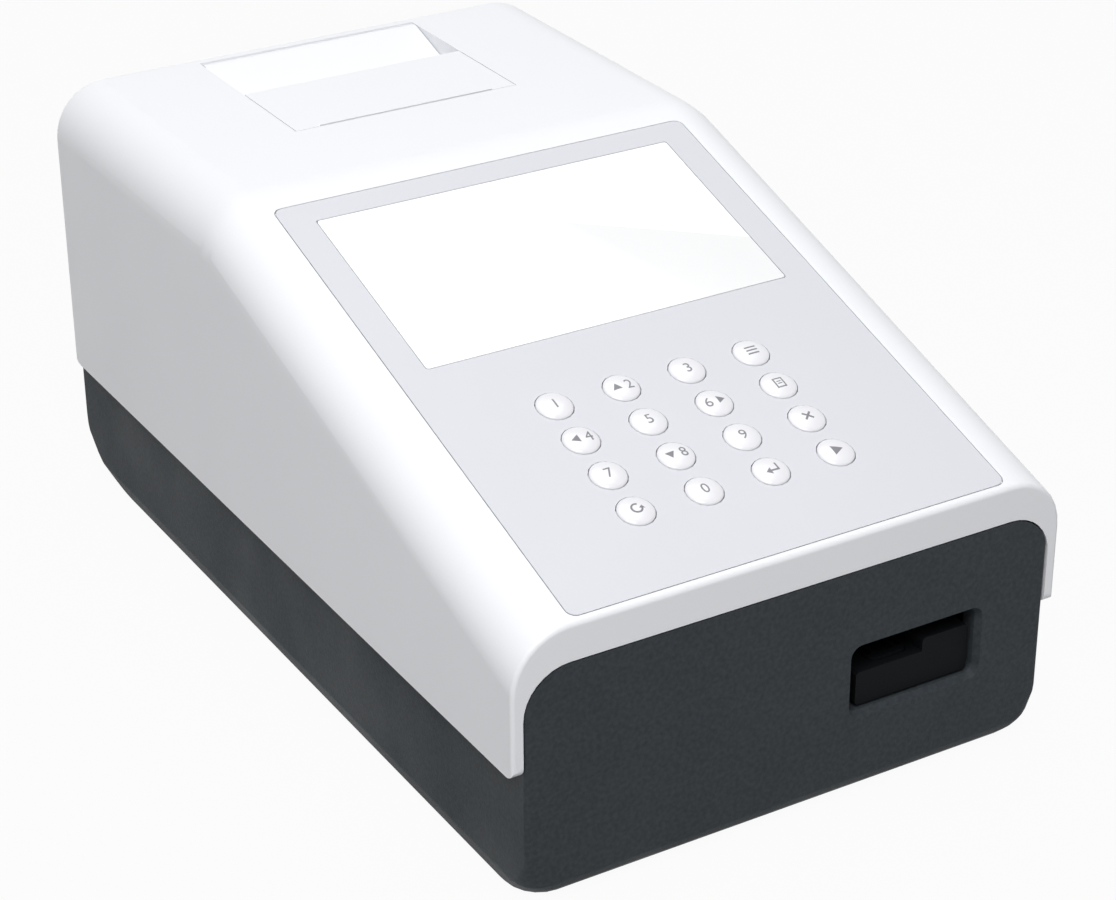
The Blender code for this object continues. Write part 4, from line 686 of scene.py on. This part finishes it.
def cross():
    thin, reach = 0.075, 0.42
    plus = [(thin, thin), (reach, thin), (reach, -thin), (thin, -thin), (thin, -reach), (-thin, -reach),
            (-thin, -thin), (-reach, -thin), (-reach, thin), (-thin, thin), (-thin, reach), (thin, reach)]
    turn = math.sqrt(0.5)
    return [[((a - b) * turn, (a + b) * turn) for a, b in plus]]


SYMBOLS = {
    "key_menu": [bar(-0.42, 0.24, 0.42, 0.36), bar(-0.42, -0.06, 0.42, 0.06),
                 bar(-0.42, -0.36, 0.42, -0.24)],
    "key_print": [bar(-0.36, -0.45, -0.26, 0.45), bar(0.26, -0.45, 0.36, 0.45),
                  bar(-0.26, 0.35, 0.26, 0.45), bar(-0.26, -0.45, 0.26, -0.35),
                  bar(-0.16, 0.08, 0.16, 0.16), bar(-0.16, -0.12, 0.16, -0.04)],
    "key_cancel": cross(),
    "key_clear": round_arrow(),
    "key_enter": [[(0.5, 0.42), (0.37, 0.42), (0.37, -0.10), (-0.12, -0.10), (-0.12, 0.12), (-0.5, -0.17),
                   (-0.12, -0.46), (-0.12, -0.24), (0.5, -0.24)]],
    "key_start": [[(-0.30, 0.42), (-0.30, -0.42), (0.46, 0.0)]],
}
ARROW = [[(0.0, 0.36), (-0.38, -0.28), (0.38, -0.28)]]


def wrapped_on_dome(shape, radius, dome):
    """Cuts a flat print finely, lays it on the dome and gives it a skin's thickness."""
    bmesh.ops.remove_doubles(shape, verts=shape.verts, dist=radius / 1000)
    shape.normal_update()
    bmesh.ops.triangulate(shape, faces=shape.faces)
    for _ in range(CUT_ROUNDS):
        long = [edge for edge in shape.edges if edge.calc_length() > radius * CUT_SHARE]
        if not long:
            break
        bmesh.ops.subdivide_edges(shape, edges=long, cuts=1)
        bmesh.ops.triangulate(shape, faces=shape.faces)
    lower = set(shape.verts)
    raised = bmesh.ops.extrude_face_region(shape, geom=list(shape.faces), use_keep_orig=True)
    upper = {item for item in raised["geom"] if isinstance(item, bmesh.types.BMVert)}
    for vertex in shape.verts:
        height = dome_height(vertex.co.x, vertex.co.y, radius, dome)
        vertex.co.z = height + (INK_LIFT if vertex in upper else -INK_SINK if vertex in lower else 0)
    bmesh.ops.recalc_face_normals(shape, faces=shape.faces)
    return shape


def key_prints(name, height):
    if name in SYMBOLS:
        return [outline_mesh(SYMBOLS[name], height * 1.15)]
    text, shift, turn, arrow_shift = NUMBER_LEGENDS[name]
    prints = [digit_mesh(text, height, shift)]
    if turn is not None:
        prints.append(outline_mesh(ARROW, height, (arrow_shift, 0), math.radians(turn)))
    return prints


def joined(shapes, indices):
    """Several shapes as one, each with its own material slot number."""
    whole = bmesh.new()
    for shape, index in zip(shapes, indices):
        for item in shape.faces:
            item.material_index = index
        mesh = bpy.data.meshes.new("part")
        shape.to_mesh(mesh)
        whole.from_mesh(mesh)
        bpy.data.meshes.remove(mesh)
        shape.free()
    return whole


# ---------------------------------------------------------------- operators


class ANALYZER_OT_housing(bpy.types.Operator):
    """Finish the cover, door, base, panel and pane"""
    bl_idname = "analyzer.housing"
    bl_label = "Housing finishes"

    def execute(self, context):
        given = finishes()
        edge = context.scene.analyzer_housing.edge
        smooth_copy("top_cover", given["cover"], "root", edge)
        smooth_copy("paper_door", given["cover"], "door", edge)
        smooth_copy("base_tub", given["base"], "root", edge, given["gap_shadow"])
        dress(("control_panel",), given["panel"])
        dress(("display_window",), given["window"])
        return {"FINISHED"}


class ANALYZER_OT_keys(bpy.types.Operator):
    """Make the domed keys with their printed digits and signs"""
    bl_idname = "analyzer.keys"
    bl_label = "Keys"

    def execute(self, context):
        given = finishes()
        keys = context.scene.analyzer_keys
        steps = CROWN_STEPS
        foot = -keys.under - keys.flange
        crown = [(0, keys.dome)]
        crown += [(keys.radius * math.sin(math.pi / 2 * step / steps),
                   keys.dome * math.cos(math.pi / 2 * step / steps)) for step in range(1, steps + 1)]
        profile = crown + [(keys.radius, -keys.under), (keys.radius + keys.flange, -keys.under),
                           (keys.radius + keys.flange, foot), (keys.stem_radius, foot),
                           (keys.stem_radius, foot - keys.stem), (0, foot - keys.stem)]
        for name, x, along in key_places():
            body = bmesh.new()
            turned(body, list(reversed(profile)), keys.sides)
            bmesh.ops.recalc_face_normals(body, faces=body.faces)
            prints = [wrapped_on_dome(shape, keys.radius, keys.dome)
                      for shape in key_prints(name, keys.ink_height)]
            whole = joined([body] + prints, [0] + [1] * len(prints))
            whole.transform(PANEL_FRAME @ Matrix.Translation((x, along, 0)))
            mesh = bpy.data.meshes.new(name + "_cap")
            whole.to_mesh(mesh)
            whole.free()
            indices = [face.material_index for face in mesh.polygons]
            thing = piece(name + "_printed", mesh, (given["key"], given["ink"]), name + "_cap",
                          (name,))
            thing.data.polygons.foreach_set("material_index", indices)
        return {"FINISHED"}


class ANALYZER_OT_mechanism(bpy.types.Operator):
    """Finish the printer, tray, reader and their drives, and add the lens"""
    bl_idname = "analyzer.mechanism"
    bl_label = "Printer, tray and reader"

    def execute(self, context):
        given = finishes()
        dress(("tray_guide", "tray_carriage", "reader_housing"), given["black"])
        dress(("print_head", "display_module"), given["metal"])
        smooth_copy("printer_frame", given["black"], "root")
        for node in ("printer_motor", "tray_motor", "reader_lens"):
            smooth_copy(node, given["metal"], "root")
        dress(("roller_gear", "printer_pinion", "tray_rack", "tray_pinion"), given["gear"])
        dress(("strip_tray",), given["black"])
        dress(("white_reference",), given["paper"])
        smooth_copy("paper_roll", given["paper"], "roll")
        smooth_copy("platen_roller", given["rubber"], "roller")
        low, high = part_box("reader_lens")
        radius = (high.x - low.x) / 4
        bulge = radius / 4
        turns = [math.pi / 2 * step / LENS_STEPS for step in range(1, LENS_STEPS + 1)]
        face = [(radius * math.sin(turn), bulge * math.cos(turn)) for turn in turns]
        profile = [(0, -bulge)] + [(across, -rise) for across, rise in face]
        profile += [(across, rise) for across, rise in reversed(face[:-1])] + [(0, bulge)]
        shape = bmesh.new()
        turned(shape, profile, LENS_SIDES)
        middle = (low + high) / 2
        place = Matrix.Translation((middle.x, middle.y, low.z + (high.z - low.z) / 4))
        piece("reader_glass", mesh_from(shape, "reader_glass", place), (given["glass"],), "root")
        return {"FINISHED"}


class ANALYZER_OT_boards(bpy.types.Operator):
    """Finish the circuit boards and set the small parts on the main board"""
    bl_idname = "analyzer.boards"
    bl_label = "Circuit boards"

    def execute(self, context):
        given = finishes()
        dress(("main_board", "keypad_board", "reader_board"), given["board"])
        boards = context.scene.analyzer_boards
        low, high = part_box("main_board")
        size = high - low
        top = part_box("board_screw_1")[0].z
        length, depth, height = boards.chip
        columns = int(size.x / 2 / boards.pitch)
        places = [(low.x + size.x / 4 + boards.pitch * column, low.y + size.y * share, top)
                  for column in range(columns) for share in PART_ROW_SHARES]
        mesh = repeated("board_parts", "block", places, {"Size": (length, depth, height)}, given["chip"])
        piece("board_parts", mesh, (given["chip"],), "root")
        return {"FINISHED"}


class ANALYZER_OT_rear(bpy.types.Operator):
    """Finish the sockets and the switch, with contacts, nuts and the rocker's marks"""
    bl_idname = "analyzer.rear"
    bl_label = "Sockets and switch"

    def execute(self, context):
        given = finishes()
        rear = context.scene.analyzer_rear
        dress(("usb_socket", "serial_socket"), given["metal"])
        dress(("power_inlet", "switch_frame", "power_rocker"), given["black"])
        self.data_socket(given, rear)
        self.usb_contacts(given)
        self.rocker_marks(given, rear)
        return {"FINISHED"}

    def data_socket(self, given, rear):
        low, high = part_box("serial_socket")
        middle = (low + high) / 2
        top, foot = SERIAL_HALF_WIDTH, SERIAL_HALF_WIDTH - SERIAL_TAPER
        outline = [(-top, SERIAL_HALF_HEIGHT), (top, SERIAL_HALF_HEIGHT),
                   (foot, -SERIAL_HALF_HEIGHT), (-foot, -SERIAL_HALF_HEIGHT)]
        shape = bmesh.new()
        rows = [[shape.verts.new((middle.x + a, y, middle.z + b)) for a, b in outline]
                for y in (high.y - SERIAL_SKIN, high.y + SERIAL_SKIN / 2)]
        for step in range(4):
            after = (step + 1) % 4
            shape.faces.new((rows[0][step], rows[0][after], rows[1][after], rows[1][step]))
        shape.faces.new(rows[0])
        shape.faces.new(list(reversed(rows[1])))
        piece("data_socket_face", mesh_from(shape, "data_socket_face"), (given["black"],), "root")
        places = []
        for count, level in ((5, rear.pin_rows / 2), (4, -rear.pin_rows / 2)):
            for index in range(count):
                x = middle.x + rear.pin_pitch * (index - (count - 1) / 2)
                y = high.y + SERIAL_SKIN / 2 - rear.pin_length / 2 + SERIAL_SKIN / 4
                places.append((x, y, middle.z + level))
        values = {"Sides": 12, "Radius": rear.pin_radius, "Length": rear.pin_length,
                  "Turn": (math.pi / 2, 0, 0)}
        mesh = repeated("data_socket_contacts", "rod", places, values, given["gold"])
        piece("data_socket_contacts", mesh, (given["gold"],), "root")
        y = high.y - SERIAL_SEAT + rear.nut_length / 2
        places = [(middle.x + side * NUT_REACH, y, middle.z) for side in (-1, 1)]
        values = {"Sides": 6, "Radius": rear.nut_radius, "Length": rear.nut_length,
                  "Turn": (math.pi / 2, 0, 0)}
        mesh = repeated("data_socket_nuts", "rod", places, values, given["metal"])
        piece("data_socket_nuts", mesh, (given["metal"],), "root")

    def usb_contacts(self, given):
        low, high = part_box("usb_socket")
        middle = (low + high) / 2
        places = [(middle.x + side * USB_CONTACT_REACH, high.y - USB_CONTACT_DEPTH,
                   middle.z + face * USB_CONTACT_RISE) for side in (-1, 1) for face in (-1, 1)]
        mesh = repeated("usb_contacts", "block", places, {"Size": USB_CONTACT}, given["gold"])
        piece("usb_contacts", mesh, (given["gold"],), "root")

    def rocker_marks(self, given, rear):
        """A bar for on and a ring for off, on the rocker's curved face."""
        tall, thin = rear.mark_size, rear.mark_size * 0.16
        whole = bmesh.new()
        for kind, turn in ROCKER_MARK_TURNS:
            shape = bmesh.new()
            outlines = [bar(-thin / 2, -tall / 2, thin / 2, tall / 2)]
            if kind == "ring":
                outlines = self.ring(tall / 2, tall / 2 - thin)
            for outline in outlines:
                shape.faces.new([shape.verts.new((a, 0, b)) for a, b in outline])
            bmesh.ops.remove_doubles(shape, verts=shape.verts, dist=thin / 100)
            bmesh.ops.triangulate(shape, faces=shape.faces)
            for _ in range(CUT_ROUNDS):
                long = [edge for edge in shape.edges if edge.calc_length() > tall / 6]
                if long:
                    bmesh.ops.subdivide_edges(shape, edges=long, cuts=1)
                    bmesh.ops.triangulate(shape, faces=shape.faces)
            raised = bmesh.ops.extrude_face_region(shape, geom=list(shape.faces), use_keep_orig=True)
            upper = {item for item in raised["geom"] if isinstance(item, bmesh.types.BMVert)}
            for vertex in shape.verts:
                angle = turn + vertex.co.z / ROCKER_RADIUS
                reach = ROCKER_RADIUS + (ROCKER_SKIN if vertex in upper else -ROCKER_SKIN)
                around = Vector((vertex.co.x, math.cos(angle) * reach, math.sin(angle) * reach))
                vertex.co = around + ROCKER_PIVOT
            mesh = bpy.data.meshes.new("mark")
            shape.to_mesh(mesh)
            shape.free()
            whole.from_mesh(mesh)
            bpy.data.meshes.remove(mesh)
        piece("rocker_marks", mesh_from(whole, "rocker_marks"), (given["mark"],), "rocker")

    def ring(self, outer, inner):
        """Four-sided outlines all the way round a ring."""
        ends = [math.tau * step / RING_STEPS for step in range(RING_STEPS + 1)]
        return [[(outer * math.cos(first), outer * math.sin(first)),
                 (outer * math.cos(second), outer * math.sin(second)),
                 (inner * math.cos(second), inner * math.sin(second)),
                 (inner * math.cos(first), inner * math.sin(first))]
                for first, second in zip(ends, ends[1:])]


class ANALYZER_OT_fixings(bpy.types.Operator):
    """Finish the feet and screws, with dark blocks at the screws' ends painted as the shade of their cross
    slots
    """
    bl_idname = "analyzer.fixings"
    bl_label = "Feet and screws"

    def execute(self, context):
        given = finishes()
        numbers = range(1, 5)
        for number in numbers:
            smooth_copy(f"rubber_foot_{number}", given["rubber"], "root", FOOT_EDGE)
        dress([f"{kind}_screw_{number}" for kind in ("board", "case") for number in numbers], given["metal"])
        # Dark blocks crossed at each screw's end: painted shade of a cross slot, not a recess
        for kind, side in (("board", 1), ("case", 0)):
            places = []
            for number in numbers:
                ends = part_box(f"{kind}_screw_{number}")
                middle = (ends[0] + ends[1]) / 2
                places.append((middle.x, middle.y, ends[side].z))
            shape = bmesh.new()
            for turn in (0, math.pi / 2):
                values = {"Size": SLOT_SHADE_SIZE, "Turn": (0, 0, turn)}
                mesh = repeated(f"{kind}_slot_shade", "block", places, values, given["chip"])
                shape.from_mesh(mesh)
                bpy.data.meshes.remove(mesh)
            name = f"{kind}_slot_shades"
            piece(name, mesh_from(shape, name), (given["chip"],), "root")
        return {"FINISHED"}


class ANALYZER_OT_stage(bpy.types.Operator):
    """Make the floor, the lamps and the camera"""
    bl_idname = "analyzer.stage"
    bl_label = "Stage"

    def execute(self, context):
        stage = context.scene.analyzer_stage
        self.floor(stage)
        self.lamp("lamp_key", *KEY_LAMP, stage.key_power)
        self.lamp("lamp_top", *TOP_LAMP, stage.top_power)
        self.world(context, stage)
        self.camera(context)
        context.scene.view_settings.view_transform = "Standard"
        return {"FINISHED"}

    def floor(self, stage):
        half = stage.floor_size / 2
        mesh = bpy.data.meshes.new("floor")
        corners = [(-half, -half), (half, -half), (half, half), (-half, half)]
        mesh.from_pydata([(x, y, FLOOR_DROP) for x, y in corners], [], [(0, 1, 2, 3)])
        mesh.materials.append(floor_material())
        floor = bpy.data.objects.new("floor", mesh)
        bpy.context.scene.collection.objects.link(floor)

    def lamp(self, name, place, size, power):
        data = bpy.data.lights.new(name, "AREA")
        data.shape = "SQUARE"
        data.size = size
        data.energy = power
        thing = bpy.data.objects.new(name, data)
        bpy.context.scene.collection.objects.link(thing)
        thing.location = place
        thing.rotation_mode = "QUATERNION"
        thing.rotation_quaternion = (AIM - place).to_track_quat("-Z", "Y")

    def world(self, context, stage):
        world = bpy.data.worlds.new("surroundings")
        context.scene.world = world
        world.use_nodes = True
        tree = world.node_tree
        shade = tree.nodes["Background"]
        shade.inputs["Color"].default_value = (1, 1, 1, 1)
        rays = tree.nodes.new("ShaderNodeLightPath")
        strongest = rays.outputs["Is Camera Ray"]
        for key in ("Is Glossy Ray", "Is Transmission Ray"):
            node = tree.nodes.new("ShaderNodeMath")
            node.operation = "MAXIMUM"
            tree.links.new(strongest, node.inputs[0])
            tree.links.new(rays.outputs[key], node.inputs[1])
            strongest = node.outputs[0]
        spread = tree.nodes.new("ShaderNodeMapRange")
        tree.links.new(strongest, spread.inputs["Value"])
        spread.inputs["To Min"].default_value = stage.world
        spread.inputs["To Max"].default_value = 1.0
        tree.links.new(spread.outputs["Result"], shade.inputs["Strength"])

    def camera(self, context):
        """The photograph's camera."""
        level = math.cos(CAMERA_DROP)
        ahead = Vector((math.sin(CAMERA_TURN) * level, math.cos(CAMERA_TURN) * level,
                        -math.sin(CAMERA_DROP)))
        right = ahead.cross(Vector((0, 0, 1))).normalized()
        down = ahead.cross(right)
        across = right * math.cos(CAMERA_ROLL) - down * math.sin(CAMERA_ROLL)
        below = right * math.sin(CAMERA_ROLL) + down * math.cos(CAMERA_ROLL)
        data = bpy.data.cameras.new("camera")
        data.sensor_width = CAMERA_FILM
        data.lens = CAMERA_LENS
        data.clip_start, data.clip_end = 0.01, 20.0
        camera = bpy.data.objects.new("camera", data)
        context.scene.collection.objects.link(camera)
        turned_axes = Matrix((across, -below, -ahead)).transposed().to_4x4()
        camera.matrix_world = Matrix.Translation(CAMERA_PLACE) @ turned_axes
        context.scene.camera = camera


OPERATORS = (ANALYZER_OT_housing, ANALYZER_OT_keys, ANALYZER_OT_mechanism, ANALYZER_OT_boards,
             ANALYZER_OT_rear, ANALYZER_OT_fixings, ANALYZER_OT_stage)
SETTINGS = (("analyzer_housing", HousingSettings), ("analyzer_keys", KeySettings),
            ("analyzer_rear", RearSettings), ("analyzer_boards", BoardSettings),
            ("analyzer_stage", StageSettings))


class ANALYZER_PT_pieces(bpy.types.Panel):
    """Sizes, colours and pieces of the analyzer"""
    bl_idname = "ANALYZER_PT_pieces"
    bl_label = "Strip analyzer"
    bl_space_type = "VIEW_3D"
    bl_region_type = "UI"
    bl_category = "Analyzer"

    def draw(self, context):
        for name, group in SETTINGS:
            box = self.layout.box()
            box.label(text=name.replace("analyzer_", "").capitalize())
            for key in group.__annotations__:
                box.prop(getattr(context.scene, name), key)
        for operator in OPERATORS:
            self.layout.operator(operator.bl_idname)


def register():
    for name, group in SETTINGS:
        bpy.utils.register_class(group)
        setattr(bpy.types.Scene, name, PointerProperty(type=group))
    for operator in OPERATORS:
        bpy.utils.register_class(operator)
    bpy.utils.register_class(ANALYZER_PT_pieces)


def unregister():
    bpy.utils.unregister_class(ANALYZER_PT_pieces)
    for operator in reversed(OPERATORS):
        bpy.utils.unregister_class(operator)
    for name, group in reversed(SETTINGS):
        delattr(bpy.types.Scene, name)
        bpy.utils.unregister_class(group)


def main():
    register()
    for name in ("housing", "keys", "mechanism", "boards", "rear", "fixings", "stage"):
        getattr(bpy.ops.analyzer, name)()


if __name__ == "__main__":
    main()
